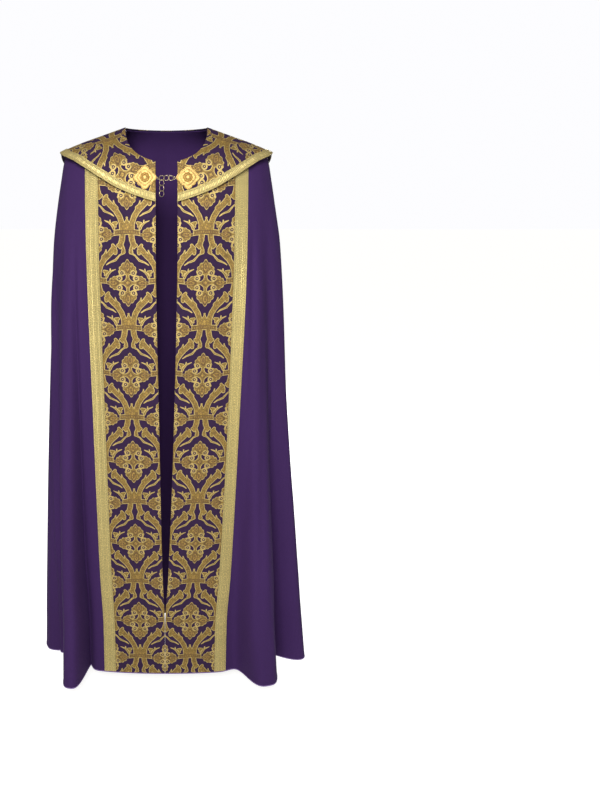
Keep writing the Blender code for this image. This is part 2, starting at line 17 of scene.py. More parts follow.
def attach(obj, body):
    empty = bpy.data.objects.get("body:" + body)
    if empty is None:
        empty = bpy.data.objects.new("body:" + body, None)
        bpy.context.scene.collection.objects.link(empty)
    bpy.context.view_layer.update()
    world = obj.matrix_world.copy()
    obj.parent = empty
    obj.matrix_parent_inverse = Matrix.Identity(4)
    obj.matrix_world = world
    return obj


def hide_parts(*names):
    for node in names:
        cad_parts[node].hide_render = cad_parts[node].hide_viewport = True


bl_info = {
    "name": "Cope",
    "version": (1, 0, 0),
    "blender": (4, 5, 0),
    "location": "3D View > Sidebar > Cope",
    "description": "Builds a hooded cope with orphreys, galloons and clasp on its frame",
    "category": "Object",
}

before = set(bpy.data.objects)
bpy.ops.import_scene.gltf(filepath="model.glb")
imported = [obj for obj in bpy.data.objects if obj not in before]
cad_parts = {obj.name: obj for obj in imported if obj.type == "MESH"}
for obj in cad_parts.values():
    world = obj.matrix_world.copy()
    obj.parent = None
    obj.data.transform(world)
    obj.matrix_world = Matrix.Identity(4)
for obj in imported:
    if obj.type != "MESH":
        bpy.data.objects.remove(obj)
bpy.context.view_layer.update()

# ---------------------------------------------------------------- the draped form
HEM = -1.510
NECK_HALF_WIDTH = 0.103
NECK_DROP = 0.0855          # how far the neck hole dips in front
ROUNDNESS = 2.3             # power of the sections' superellipse
HOLD = -0.090               # the warp lines keep to the sides of the neck above this height

SEWN = 0.0004               # space between two layers that are sewn together
SEAM_LAP = 0.0005           # how far each half goes past the seam at the centre back
WALL = 0.0020
ORPHREY_WALL = 0.0011
GALLOON_WALL = 0.0015
LINING_WALL = 0.0010
HOOD_WALL = 0.0012
HEM_EDGE_WALL = 0.0007
HEM_EDGE_GAP = 0.0001
HOOD_LIFT = 0.0048          # from the draped form out to the hood's lining
EDGE_MARGIN = 0.004         # how far above the hem the bands end
BAND_FIRST_ROW = 2          # the bands leave out the rows of the plain cloth above this one
EDGE_ANGLE = math.radians(50)  # sharper edges than this are rounded
EDGE_ROUND = 0.3            # rounding of a cloth's edges, as a share of its wall

FRONT_BROCADE = 0.1430
FRONT_GALLOON = 0.0335
BACK_BROCADE = 0.0720
BACK_GALLOON = 0.0175
HOOD_GALLOON = 0.0190
BODY_GIRTH = 0.6200
FRONT_BAND = FRONT_BROCADE + FRONT_GALLOON
BACK_BAND = BACK_BROCADE + BACK_GALLOON
HALF_GIRTH = FRONT_BAND + BODY_GIRTH + BACK_BAND

# grain of the cloths: columns of the plain cloth, and rows that fan out over the yoke and
# then run level to the hem
BODY_COLUMNS = 150
YOKE_DEPTH = -0.200
YOKE_ROWS = 22
SKIRT_ROWS = 80
SPACING_HEIGHT = -1.360     # the plain cloth's columns are even along its folds here
HOOD_COLUMNS = 84
HOOD_ROWS = 34
HOOD_ROW_CROWDING = 1.5
EDGE_ROWS = 4               # rows of the galloon on the hood's edge
# points across each band, and across the plain cloth under the bands
FRONT_POINTS = 25
GALLOON_POINTS = 7
NARROW_GALLOON_POINTS = 5
BACK_POINTS = 13
UNDER_FRONT_POINTS = 13
UNDER_GALLOON_POINTS = 8
UNDER_BACK_POINTS = 7

SIDES = ((1, "left"), (-1, "right"))
# bands of both sides: first and last girth, points across, wall and finish
STRIPS = {
    "orphrey_front": (0.0, FRONT_BROCADE, FRONT_POINTS, ORPHREY_WALL, "brocade"),
    "galloon_front": (FRONT_BROCADE + SEWN, FRONT_BAND - SEWN, GALLOON_POINTS, GALLOON_WALL,
                      "galloon"),
    "galloon_back": (HALF_GIRTH - BACK_BAND + SEWN, HALF_GIRTH - BACK_BROCADE - SEWN,
                     NARROW_GALLOON_POINTS, GALLOON_WALL, "galloon"),
}

FOLD_EASE = 0.12            # how soon a fold grows below its start
NORMAL_STEP = 0.002         # how far round a point the slope of its surface is read
HOOD_NORMAL_STEP = 0.004

# heights of a cross of the brocade, and how far the hood's uppermost one lies below the neck
FRONT_CROSS = -0.137
BACK_CROSS = -0.470
HOOD_CROSS = 0.049
FLATTEN_STEPS = 1500        # rounds in which the hood's cloth is laid flat
FLATTEN_PACE = 1.6

SECTION_COLUMNS = ("height", "half_width", "front", "back")
MANTLE_SECTIONS = {
    "neck": (0.000, 0.103, 0.030, 0.070),
    "collar": (-0.020, 0.161, 0.050, 0.088),
    "shoulder": (-0.040, 0.219, 0.071, 0.100),
    "shoulder_turn": (-0.060, 0.2555, 0.090, 0.108),
    "front_neck": (-0.084, 0.2640, 0.107, 0.115),
    "upper_chest": (-0.120, 0.2710, 0.1185, 0.122),
    "chest": (-0.180, 0.2820, 0.126, 0.129),
    "elbow": (-0.300, 0.3010, 0.130, 0.137),
    "hip": (-0.600, 0.3250, 0.130, 0.150),
    "knee": (-1.000, 0.3490, 0.130, 0.172),
    "hem": (-1.510, 0.3720, 0.130, 0.205),
}
# the stiff hood keeps the slope of the shoulders and spreads past them
HOOD_SECTIONS = {
    **{name: MANTLE_SECTIONS[name] for name in ("neck", "collar", "shoulder")},
    "shoulder_tip": (-0.062, 0.2700, 0.092, 0.110),
    "past_the_tip": (-0.084, 0.3000, 0.108, 0.117),
    "upper_back": (-0.120, 0.3280, 0.120, 0.125),
    "shoulder_blade": (-0.180, 0.3450, 0.127, 0.132),
    "mid_back": (-0.300, 0.3600, 0.131, 0.140),
    "hood_point": (-0.480, 0.3800, 0.132, 0.149),
}
HOOD_CORE = (0.0, 0.0, -0.250)  # the hood's lines are cast onto its form from here

# outline of the hood, from its front edge over the shoulder tip to its point
OUTLINE_COLUMNS = ("face", "out", "height")
HOOD_OUTLINE = {
    "front_corner": ("front", 0.0265, -0.1770),
    "collar_fall": ("front", 0.0750, -0.1625),
    "collar_turn": ("front", 0.1200, -0.1445),
    "collar_rise": ("front", 0.1670, -0.1180),
    "over_orphrey": ("front", 0.2050, -0.0960),
    "before_tip": ("front", 0.2360, -0.0790),
    "shoulder_tip": ("tip", 0.2700, -0.0620),
    "behind_tip": ("back", 0.2710, -0.0830),
    "upper_side": ("back", 0.2690, -0.1020),
    "side": ("back", 0.2620, -0.1335),
    "lower_side": ("back", 0.2500, -0.1770),
    "flank": ("back", 0.2265, -0.2310),
    "curve": ("back", 0.1885, -0.2860),
    "run": ("back", 0.1340, -0.3560),
    "lower_run": ("back", 0.0885, -0.4045),
    "point": ("back", 0.0000, -0.4660),
}

# the x of both front edges, from the clasp to the hem
EDGE_COLUMNS = ("height", "right", "left")
FRONT_EDGES = {
    "neck": (-0.084, -0.0262, 0.0274),
    "chest": (-0.270, -0.0268, 0.0278),
    "knee": (-0.745, -0.0194, 0.0202),
    "shin": (-1.200, -0.0105, 0.0050),
    "meeting": (-1.360, -0.0041, -0.0038),
    "hem": (HEM, -0.0040, -0.0037),
}

# folds of each side: place and width along the hem from the front edge, how far each
# stands out (or sinks in), how crisp it is, the height at which it starts, the degrees it
# leans to the middle and how much nearer the front edge it starts
FOLD_COLUMNS = ("place", "width", "depth", "crisp", "start", "lean", "drift")
LEFT_FOLDS = {
    "beside_orphrey": (0.200, 0.022, -0.010, 2.0, -0.30, 0, 0.0),
    "front_lobe": (0.270, 0.046, 0.094, 3.0, -0.16, 14, 0.080),
    "behind_lobe": (0.345, 0.032, -0.048, 2.2, -0.14, 0, 0.090),
    "arm_lobe": (0.414, 0.038, 0.052, 2.6, -0.16, 0, 0.050),
    "arm_draw": (0.440, 0.080, -0.080, 2.0, -0.25, 0, 0.0),
    "arm_spread": (0.440, 0.080, 0.080, 2.0, -0.62, 0, 0.0),
    "behind_arm": (0.490, 0.030, -0.020, 2.0, -0.20, 0, 0.0),
    "side_lobe": (0.570, 0.034, 0.044, 2.2, -0.22, 0, 0.0),
    "dark_valley": (0.632, 0.030, -0.034, 2.2, -0.15, 0, 0.0),
    "back_lobe": (0.700, 0.042, 0.036, 2.4, -0.31, 8, 0.0),
    "soft_valley": (0.762, 0.024, -0.012, 2.0, -0.42, 0, 0.0),
    "beside_back": (0.800, 0.024, 0.014, 2.0, -0.46, 0, 0.0),
}
RIGHT_FOLDS = {
    "beside_orphrey": (0.220, 0.014, -0.030, 2.0, -0.30, 0, 0.0),
    "front_lobe": (0.252, 0.026, 0.102, 4.0, -0.20, 14, 0.0),
    "behind_lobe": (0.325, 0.036, -0.050, 2.4, -0.16, 0, 0.0),
    "arm_hollow": (0.400, 0.048, -0.048, 2.4, -0.18, 0, 0.0),
    "side_lobe": (0.535, 0.050, 0.008, 2.4, -0.22, 0, 0.0),
    "dark_valley": (0.620, 0.030, -0.028, 2.0, -0.20, 0, 0.0),
    "back_lobe": (0.680, 0.036, 0.034, 2.2, -0.31, 6, 0.0),
    "soft_valley": (0.738, 0.026, -0.020, 2.0, -0.36, 0, 0.0),
    "beside_back": (0.788, 0.026, 0.016, 2.0, -0.46, 0, 0.0),
}

# soft creases in the plain cloth: place and width along the hem, how far each stands out or
# sinks in, its top and bottom, and how far its place moves along the hem on the way down
CREASE_COLUMNS = ("place", "width", "depth", "top", "bottom", "drift")
LEFT_CREASES = {
    "orphrey_side": (0.196, 0.010, -0.0030, -0.20, -1.10, 0.010),
    "lobe_face": (0.236, 0.012, -0.0026, -0.42, -1.52, 0.012),
    "lobe_turn": (0.292, 0.010, 0.0034, -0.60, -1.56, -0.006),
    "arm_face": (0.392, 0.014, -0.0040, -0.26, -1.02, 0.018),
    "arm_back": (0.452, 0.012, 0.0034, -0.50, -1.54, -0.010),
    "side_face": (0.536, 0.013, -0.0030, -0.32, -1.20, 0.014),
    "side_ridge": (0.604, 0.010, 0.0032, -0.66, -1.55, 0.0),
    "back_face": (0.668, 0.012, -0.0030, -0.36, -1.30, 0.012),
    "back_ridge": (0.722, 0.011, 0.0030, -0.52, -1.55, -0.008),
    "beside_seam": (0.780, 0.009, -0.0022, -0.50, -1.40, 0.006),
}
RIGHT_CREASES = {
    "orphrey_side": (0.206, 0.009, 0.0026, -0.26, -1.30, 0.008),
    "lobe_face": (0.240, 0.011, -0.0026, -0.50, -1.55, -0.008),
    "lobe_turn": (0.284, 0.011, 0.0030, -0.34, -1.20, 0.010),
    "arm_face": (0.366, 0.014, 0.0040, -0.30, -1.30, 0.016),
    "arm_back": (0.446, 0.013, -0.0036, -0.44, -1.54, -0.012),
    "side_face": (0.500, 0.012, 0.0032, -0.60, -1.56, 0.010),
    "side_ridge": (0.572, 0.011, -0.0030, -0.34, -1.24, 0.008),
    "back_face": (0.652, 0.012, -0.0034, -0.58, -1.55, -0.010),
    "back_ridge": (0.708, 0.010, 0.0028, -0.46, -1.44, 0.012),
    "beside_seam": (0.770, 0.009, 0.0022, -0.62, -1.54, 0.0),
}
CREASE_FADE = 0.16          # how far from its ends a crease reaches its full depth

# a clasp plate from its edge to its middle: scale of the outline, height and how far the
# outline has turned into a circle
PLATE_COLUMNS = ("scale", "height", "round")
PLATE_RELIEF = {
    "back": (1.00, 0.0, 0.0),
    "edge": (1.00, 0.0013, 0.0),
    "bevel": (0.985, 0.0019, 0.0),
    "rim_top": (0.945, 0.0027, 0.0),
    "rim_inner": (0.905, 0.0026, 0.0),
    "rim_foot": (0.875, 0.0015, 0.0),
    "field": (0.74, 0.0014, 0.1),
    "leaf_foot": (0.70, 0.0015, 0.2),
    "leaf_rise": (0.65, 0.0024, 0.3),
    "leaf_back": (0.52, 0.0028, 0.5),
    "leaf_inner": (0.45, 0.0024, 0.8),
    "ring_foot": (0.41, 0.0014, 1.0),
    "ring_rise": (0.36, 0.0030, 1.0),
    "ring_top": (0.32, 0.0034, 1.0),
    "ring_inner": (0.28, 0.0026, 1.0),
    "boss_foot": (0.25, 0.0022, 1.0),
    "boss_rise": (0.20, 0.0034, 1.0),
    "boss": (0.12, 0.0041, 1.0),
    "boss_top": (0.04, 0.0043, 1.0),
}
PLATE_POINTS = 112
PLATE_SIZE = 0.0585
PLATE_LOBE = 0.0110         # radius of the lobes at the plate's four points
PLATE_SIDE_LOBE = 0.0090    # and of those on its sides, which reach this far from its middle
PLATE_SIDE_REACH = 0.0246
PLATE_DIAMOND = 0.0300      # from the middle to a point of the diamond behind the lobes
PLATE_ROUND = 0.86          # radius of the inner rings' circle, in halves of the plate
PLATE_LEAVES = 8
PLATE_LEAF_RISE = 0.00035
PLATE_EDGE = 0.0002
PLATE_SEAT = 0.0006
PLATE_HEIGHT = -0.1205

RING_RADIUS = 0.0068
TAIL_RADIUS = 0.0075
EYE_RADIUS = 0.0032
WIRE_RADIUS = 0.0008
WIRE_DRAWN = 0.0007         # thin enough to pass the chain when the tail swings
WIRE_SIDES = 12
RING_STEPS = 40
CHAIN_TURN = math.radians(35)
TAIL_TURN = math.radians(45)
HOOK_MOUTH = math.radians(50)
CHAIN_HEIGHT = PLATE_HEIGHT
CHAIN_OUT = -0.1290
CLEAR = 2 * WIRE_RADIUS + SEWN  # room between the middles of two wires that hold each other
RING_PITCH = 2 * RING_RADIUS - CLEAR
TAIL_PITCH = 2 * TAIL_RADIUS - CLEAR
REACH = RING_PITCH + RING_RADIUS - CLEAR + EYE_RADIUS

# the damask's motif in widths of its repeat, with the middle of its cross at the origin:
# strokes that run from one point to another and narrow or widen on the way
STROKE_COLUMNS = ("from_x", "from_y", "from_radius", "to_x", "to_y", "to_radius")
DAMASK_STROKES = {
    "leg_top": (0.436, -0.005, 0.040, 0.428, -0.071, 0.041),
    "leg": (0.428, -0.071, 0.041, 0.406, -0.140, 0.039),
    "leg_leaf": (0.372, -0.150, 0.026, 0.402, -0.185, 0.020),
    "foot": (0.425, -0.150, 0.022, 0.448, -0.215, 0.024),
    "foot_curl": (0.448, -0.215, 0.024, 0.444, -0.246, 0.032),
    "foot_tail": (0.440, -0.262, 0.014, 0.385, -0.297, 0.010),
    "arm_top": (0.300, -0.205, 0.044, 0.245, -0.270, 0.041),
    "arm": (0.245, -0.270, 0.041, 0.160, -0.355, 0.041),
    "arm_turn": (0.160, -0.355, 0.041, 0.105, -0.440, 0.040),
    "arm_low": (0.105, -0.440, 0.040, 0.075, -0.530, 0.040),
    "arm_end": (0.075, -0.530, 0.040, 0.070, -0.620, 0.040),
    "arm_head": (0.290, -0.150, 0.022, 0.318, -0.188, 0.030),
    "arm_leaf": (0.338, -0.225, 0.020, 0.326, -0.262, 0.028),
    "thorn": (0.146, -0.320, 0.026, 0.182, -0.272, 0.017),
    "thorn_tip": (0.182, -0.272, 0.017, 0.192, -0.218, 0.006),
    "leaf": (0.385, -0.297, 0.010, 0.326, -0.366, 0.014),
    "leaf_tip": (0.326, -0.366, 0.014, 0.236, -0.402, 0.010),
    "leaf_end": (0.236, -0.402, 0.010, 0.190, -0.436, 0.006),
    "tendril": (0.311, 0.082, 0.018, 0.289, 0.125, 0.015),
    "tendril_turn": (0.289, 0.125, 0.015, 0.246, 0.170, 0.012),
    "tendril_tip": (0.246, 0.170, 0.012, 0.176, 0.200, 0.004),
    "branch": (0.262, 0.160, 0.008, 0.254, 0.204, 0.007),
    "clover": (0.302, 0.160, 0.022, 0.345, 0.166, 0.022),
    "clover_stem": (0.325, 0.140, 0.022, 0.338, 0.112, 0.012),
    "bloom": (0.500, 0.100, 0.066, 0.500, 0.165, 0.040),
    "bloom_tip": (0.500, 0.165, 0.036, 0.500, 0.215, 0.016),
    "bloom_leaf": (0.462, 0.140, 0.024, 0.452, 0.170, 0.016),
    "finial": (0.500, 0.235, 0.010, 0.500, 0.238, 0.016),
}
# palmettes: where each fans out from, its reach in the middle and at its sides
FAN_COLUMNS = ("base", "reach", "side_reach")
DAMASK_FANS = {"upright": (0.110, 0.210, 0.150), "level": (0.110, 0.182, 0.118)}
# round volutes beside the palmettes: place and radius
DAMASK_VOLUTES = {"beside_level": (0.124, 0.068, 0.035), "beside_upright": (0.083, 0.147, 0.036)}
MOTIF_FOOT = -0.85          # height of the motif's lower end
VOLUTE_LINE = 0.010         # half width of the line round a volute
VOLUTE_DOT = 0.009          # radius of the dot in its middle
FAN_EDGE = 1.25             # angle to which a palmette opens on each side
FAN_FALL = 1.05             # angle at which its reach has fallen to that of its sides
FAN_WAVES = 8.0             # scallops in a half turn
FAN_WAVE_HEIGHT = 0.015
FAN_TIP = 0.022             # how much farther its middle scallop reaches
FAN_LEAF = (0.036, 0.078)   # half width and half height of the leaf in its middle
FAN_LEAF_PLACE = 0.60       # middle of that leaf, as a share of the reach
VEIN_DEPTH = -0.012         # veins keep this far from the palmette's edge
CROWN_HALF_WIDTH = 0.190
CROWN_HALF_HEIGHT = 0.040
CROWN_LINE = 0.022          # from the crown's middle line to the line on either side of it
CROWN_BEADS = 190.0         # radians of its row of beads
SQUARE_HALF = 0.150         # half the middle square of the cross
NOTCH_PLACE = 0.100         # and the round hollows of that square's corners
NOTCH_RADIUS = 0.078
STAR_REACH = 0.046          # of the star in the middle of the cross
SHAKE_SCALE = 38.0          # fineness and size of the weave's small unevenness
SHAKE = 0.009

# braid
BRAID_COLUMN = 1.15         # width of a column of slanting ribs, in ribs
RIB_SLANT = 0.9
CORD_WIDTH = 0.0017
CORD_TWIST = 2600.0         # radians a metre
WIRE_TWIST = 9000.0
STITCH_ROW = 0.0026         # from the braid's edge to its row of stitches
STITCH_SPACING = 0.0019

# fineness of the noises in the finishes, and how far two of them are drawn out along the cloth
SLUBS = 900.0
SLUB_DRAW = 0.12
PLAIN_WEAR = 9.0
PLAIN_WEAR_DRAW = 0.25
BROCADE_WEAR = 90.0
BRAID_WEAR = 35.0
METAL_WEAR = 700.0
SCALES = 150.0
FLECKS = 520.0
# fineness of the galloon's painted glints
PAINTED_GLINTS = 380.0
FLOOR_MOTTLE = 3.0
# fineness and height of the grain of cast metal
GILT_GRAIN = (520.0, 0.0008)
CHAIN_GRAIN = (1500.0, 0.0004)

# lights, all turned to one point: size, power and place
LIGHT_COLUMNS = ("size", "power", "place")
LIGHTS = {
    "key_light": (1.2, 104, (-0.30, -2.7, 0.95)),
    "fill_light": (2.4, 7, (2.2, -2.6, 0.6)),
    "back_light": (1.4, 124, (0.8, 3.4, 0.05)),
}
LIGHTS_AIM = (0, 0, -0.7)
BACKDROP = (0.98, 0.98, 1.0)
BACKDROP_GLOWS = (0.23, 1.00)  # how bright it is to the cope and to the camera
FLOOR_GLOWS = (0.20, 0.88)
FLOOR_LIGHT = (1.0, 0.995, 0.98)
CAMERA_PLACE = (0, -2.097, -0.157)
CAMERA_TURN = (math.radians(75), 0, 0)
SENSOR_HEIGHT = 36.0
LENS_LENGTH = 34.7
LENS_SHIFT = 0.167
FLOOR_HALF = 30             # half the floor's width
FLOOR_SQUARES = 8


# ---------------------------------------------------------------- tables and curves
def column(table, names, name):
    """One named column of a table, as an array."""
    return np.array([row[names.index(name)] for row in table.values()])


def table_rows(table, names):
    """The rows of a table, each as a dictionary of its named columns."""
    return [dict(zip(names, row)) for row in table.values()]


def smooth(at, known, values):
    """Read a column between its rows with a monotone cubic, held level past its ends."""
    known, values = np.asarray(known, float), np.asarray(values, float)
    if known[0] > known[-1]:
        known, values = known[::-1], values[::-1]
    step = np.diff(known)
    rise = np.diff(values) / step
    slope = np.zeros(len(known))
    same_way = rise[:-1] * rise[1:] > 0
    before, after = step[:-1][same_way], step[1:][same_way]
    near, far = rise[:-1][same_way], rise[1:][same_way]
    mean = 3 * (before + after) / ((2 * after + before) / near + (after + 2 * before) / far)
    slope[1:-1][same_way] = mean
    slope[0], slope[-1] = rise[0], rise[-1]
    at = np.clip(np.asarray(at, float), known[0], known[-1])
    i = np.clip(np.searchsorted(known, at, side="right") - 1, 0, len(step) - 1)
    t = (at - known[i]) / step[i]
    return (
        values[i] * (1 + 2 * t) * (1 - t) ** 2
        + slope[i] * step[i] * t * (1 - t) ** 2
        + values[i + 1] * t * t * (3 - 2 * t)
        + slope[i + 1] * step[i] * t * t * (t - 1)
    )


def section(sections, name, height):
    """A section's half width, front depth or back depth at a height."""
    known = column(sections, SECTION_COLUMNS, "height")
    return smooth(height, known, column(sections, SECTION_COLUMNS, name))


def signed_power(value, power):
    """A power of a value's size, with the value's sign."""
    return np.sign(value) * np.abs(value) ** power


def lengths_along(points):
    """Length of a line of points up to each of them."""
    steps = np.linalg.norm(np.diff(points, axis=0), axis=-1)
    return np.concatenate([np.zeros((1, *steps.shape[1:])), np.cumsum(steps, axis=0)])


def unit(vectors):
    """Vectors made one long."""
    return vectors / np.linalg.norm(vectors, axis=-1, keepdims=True)


def angle_at(share):
    """Angle round a section, from the middle of the front, of a share of its half width."""
    share = np.clip(share, -1, 1)
    return np.arcsin(signed_power(share, ROUNDNESS / 2))


def on_section(sections, angle, height):
    """Point of the form, with its level outward direction, at an angle and a height."""
    wide = section(sections, "half_width", height)
    deep = np.where(
        np.cos(angle) > 0,
        section(sections, "front", height),
        section(sections, "back", height),
    )
    x = wide * signed_power(np.sin(angle), 2 / ROUNDNESS)
    y = -deep * signed_power(np.cos(angle), 2 / ROUNDNESS)
    out_x = signed_power(x / wide, ROUNDNESS - 1) / wide
    out_y = signed_power(y / deep, ROUNDNESS - 1) / deep
    out = unit(np.stack([out_x, out_y, np.zeros_like(x)], axis=-1))
    return np.stack([x, y, np.broadcast_to(height, x.shape)], axis=-1), out


def neck_height(angle):
    """Height of the neck hole's edge at an angle round the form."""
    lowest, samples = -0.999 * NECK_DROP, 200
    heights = np.linspace(lowest, 0, samples)
    across = (1 - (-heights / NECK_DROP) ** ROUNDNESS) ** (1 / ROUNDNESS)
    wide = section(MANTLE_SECTIONS, "half_width", heights)
    angles = angle_at(NECK_HALF_WIDTH * across / wide)
    return np.where(angle < math.pi / 2, np.interp(angle, angles, heights), 0.0)


# ---------------------------------------------------------------- the mantle's surface
def front_edge(side, height):
    """Distance of a front edge from the middle, counted towards its own side."""
    name = "left" if side > 0 else "right"
    known = column(FRONT_EDGES, EDGE_COLUMNS, "height")
    return side * smooth(height, known, column(FRONT_EDGES, EDGE_COLUMNS, name))


def warp_angle(side, girth, height):
    """Angle round the form of the warp line that meets the hem at a girth."""
    held = np.minimum(height, HOLD)
    wide = section(MANTLE_SECTIONS, "half_width", held)
    edge = front_edge(side, held)
    front = angle_at((edge + girth) / wide)
    back = math.pi - angle_at((HALF_GIRTH - girth + SEWN / 2) / wide)
    first = angle_at((edge + FRONT_BAND) / wide)
    last = math.pi - angle_at((BACK_BAND + SEWN / 2) / wide)
    between = first + (last - first) * (girth - FRONT_BAND) / BODY_GIRTH
    in_back = girth > FRONT_BAND + BODY_GIRTH
    return np.where(girth < FRONT_BAND, front, np.where(in_back, back, between))


def creased(point, out, side, girth, height):
    """Points moved by the soft creases of the plain cloth."""
    share = bpy.context.scene.cope_sizes.crease
    for crease in table_rows(LEFT_CREASES if side > 0 else RIGHT_CREASES, CREASE_COLUMNS):
        drop = crease["top"] - crease["bottom"]
        down = (crease["top"] - height) / drop
        place = crease["place"] + crease["drift"] * down
        fade = np.clip(np.minimum(down, 1 - down) * drop, 0, None)
        fade = np.clip(fade / CREASE_FADE, 0, 1)
        fade = fade * fade * (3 - 2 * fade)
        swell = np.exp(-(((girth - place) / crease["width"]) ** 2))
        point = point + (share * crease["depth"] * fade * swell)[..., None] * out
    return point


def mantle_point(side, girth, height):
    """Point of the mantle's inner face, folds and all."""
    girth, height = np.broadcast_arrays(np.asarray(girth, float), np.asarray(height, float))
    point, out = on_section(MANTLE_SECTIONS, warp_angle(side, girth, height), height)
    along = np.stack([-out[..., 1], out[..., 0], out[..., 2]], axis=-1)
    for fold in table_rows(LEFT_FOLDS if side > 0 else RIGHT_FOLDS, FOLD_COLUMNS):
        grown = np.clip((fold["start"] - height) / (fold["start"] - HEM), 0, 1)
        place = fold["place"] - fold["drift"] * (1 - grown)
        grown = grown * grown * (1 + FOLD_EASE) / (grown + FOLD_EASE)
        off = np.abs((girth - place) / fold["width"])
        swell = fold["depth"] * grown * np.exp(-(off ** fold["crisp"]))
        turn = math.radians(fold["lean"])
        point = point + swell[..., None] * (out * math.cos(turn) - along * math.sin(turn))
    return creased(point, out, side, girth, height) * (side, 1, 1)


def moved_out(surface, across, height, lift):
    """Points of a surface moved along its outward normal."""
    step = NORMAL_STEP
    point = surface(across, height)
    side_way = surface(across + step, height) - surface(across - step, height)
    up_way = surface(across, np.minimum(height + step, 0.0)) - surface(across, height - step)
    normal = unit(np.cross(side_way, up_way))
    outward = np.sign((normal * point * (1, 1, 0)).sum())
    return point + normal * lift * outward


def row_heights(side, girth, first_row=0, last=HEM):
    """Heights of the rows of a warp line: fanned over the yoke, then level to the hem."""
    top = neck_height(warp_angle(side, girth, HOLD))
    shares = np.linspace(0, 1, YOKE_ROWS, endpoint=False)[first_row:]
    yoke = [top + (YOKE_DEPTH - top) * share for share in shares]
    skirt = [
        np.full_like(girth, height)
        for height in np.linspace(YOKE_DEPTH, last, SKIRT_ROWS + 1)
    ]
    return np.array(yoke + skirt)


def mantle_layer(side, girths, heights, lift):
    """Rows and columns of points of one layer that lies on the mantle."""
    across = np.broadcast_to(girths, heights.shape)
    return moved_out(lambda g, z: mantle_point(side, g, z), across, heights, lift)


def body_girths(side):
    """Columns of the plain cloth, even along its folds near the hem."""
    samples = 4 * BODY_COLUMNS
    fine = np.linspace(FRONT_BAND, FRONT_BAND + BODY_GIRTH, samples)
    along = lengths_along(mantle_point(side, fine, np.full_like(fine, SPACING_HEIGHT)))
    return np.interp(np.linspace(0, along[-1], BODY_COLUMNS + 1), along, fine)


# ---------------------------------------------------------------- the hood's surface
def even_along(points, shares):
    """Points at shares of the length of a line of points."""
    along = lengths_along(points)
    along /= along[-1]
    return np.stack([np.interp(shares, along, axis) for axis in points.T], axis=-1)


def hood_outline():
    """A fine line along half of the hood's edge, and the share of it before the tip."""
    heights = column(HOOD_OUTLINE, OUTLINE_COLUMNS, "height").astype(float)
    out = column(HOOD_OUTLINE, OUTLINE_COLUMNS, "out").astype(float)
    faces = column(HOOD_OUTLINE, OUTLINE_COLUMNS, "face")
    angles = angle_at(out / section(HOOD_SECTIONS, "half_width", heights))
    angles[faces == "back"] = math.pi - angles[faces == "back"]
    angles[faces == "tip"] = math.pi / 2
    along = lengths_along(on_section(HOOD_SECTIONS, angles, heights)[0])
    along /= along[-1]
    samples = 500
    fine = np.linspace(0, 1, samples)
    line = on_section(HOOD_SECTIONS, smooth(fine, along, angles), smooth(fine, along, heights))
    return line[0], along[list(faces).index("tip")]


def hood_neck(first_angle, last_angle, shares):
    """Points of the neck hole's edge between two angles round the form."""
    samples = 300
    angles = np.linspace(first_angle, last_angle, samples)
    edge = on_section(MANTLE_SECTIONS, angles, neck_height(angles))[0]
    return even_along(edge, shares)


def cast_on_hood(points):
    """Cast points outwards from the core onto the hood's form, by halving the way."""
    core, farthest, halvings = np.array(HOOD_CORE), 3.0, 45
    inner, outer = np.zeros(points.shape[:-1]), np.full(points.shape[:-1], farthest)
    for _ in range(halvings):
        half = (inner + outer) / 2
        x, y, z = np.moveaxis(core + (points - core) * half[..., None], -1, 0)
        deep = section(HOOD_SECTIONS, "back", z)
        deep = np.where(y < 0, section(HOOD_SECTIONS, "front", z), deep)
        wide = section(HOOD_SECTIONS, "half_width", z)
        size = np.abs(x / wide) ** ROUNDNESS + np.abs(y / deep) ** ROUNDNESS
        inside = (size < 1) & (z <= 0)
        inner, outer = np.where(inside, half, inner), np.where(inside, outer, half)
    return core + (points - core) * inner[..., None]


OUTLINE, TIP_SHARE = hood_outline()
FIRST_ANGLE = angle_at(OUTLINE[0, 0] / section(MANTLE_SECTIONS, "half_width", HOLD))


def hood_point(share, down):
    """Point of the hood's form; down runs from 0 at the neck to 1 at the outline."""
    edge = even_along(OUTLINE, share)
    front = hood_neck(FIRST_ANGLE, math.pi / 2, share / TIP_SHARE)
    back = hood_neck(math.pi / 2, math.pi, (share - TIP_SHARE) / (1 - TIP_SHARE))
    neck = np.where((share < TIP_SHARE)[..., None], front, back)
    return cast_on_hood(neck + (edge - neck) * down[..., None])


def galloon_share(shares):
    """How far up each line, as a share of it, the braid on the hood's edge reaches."""
    step, back_step = NORMAL_STEP, 0.05
    ends = np.ones_like(shares)
    before, after = np.maximum(shares - step, 0), np.minimum(shares + step, 1)
    edge_way = unit(hood_point(after, ends) - hood_point(before, ends))
    line_way = (hood_point(shares, ends) - hood_point(shares, ends - back_step)) / back_step
    across = line_way - edge_way * (line_way * edge_way).sum(-1, keepdims=True)
    return HOOD_GALLOON / np.linalg.norm(across, axis=-1)


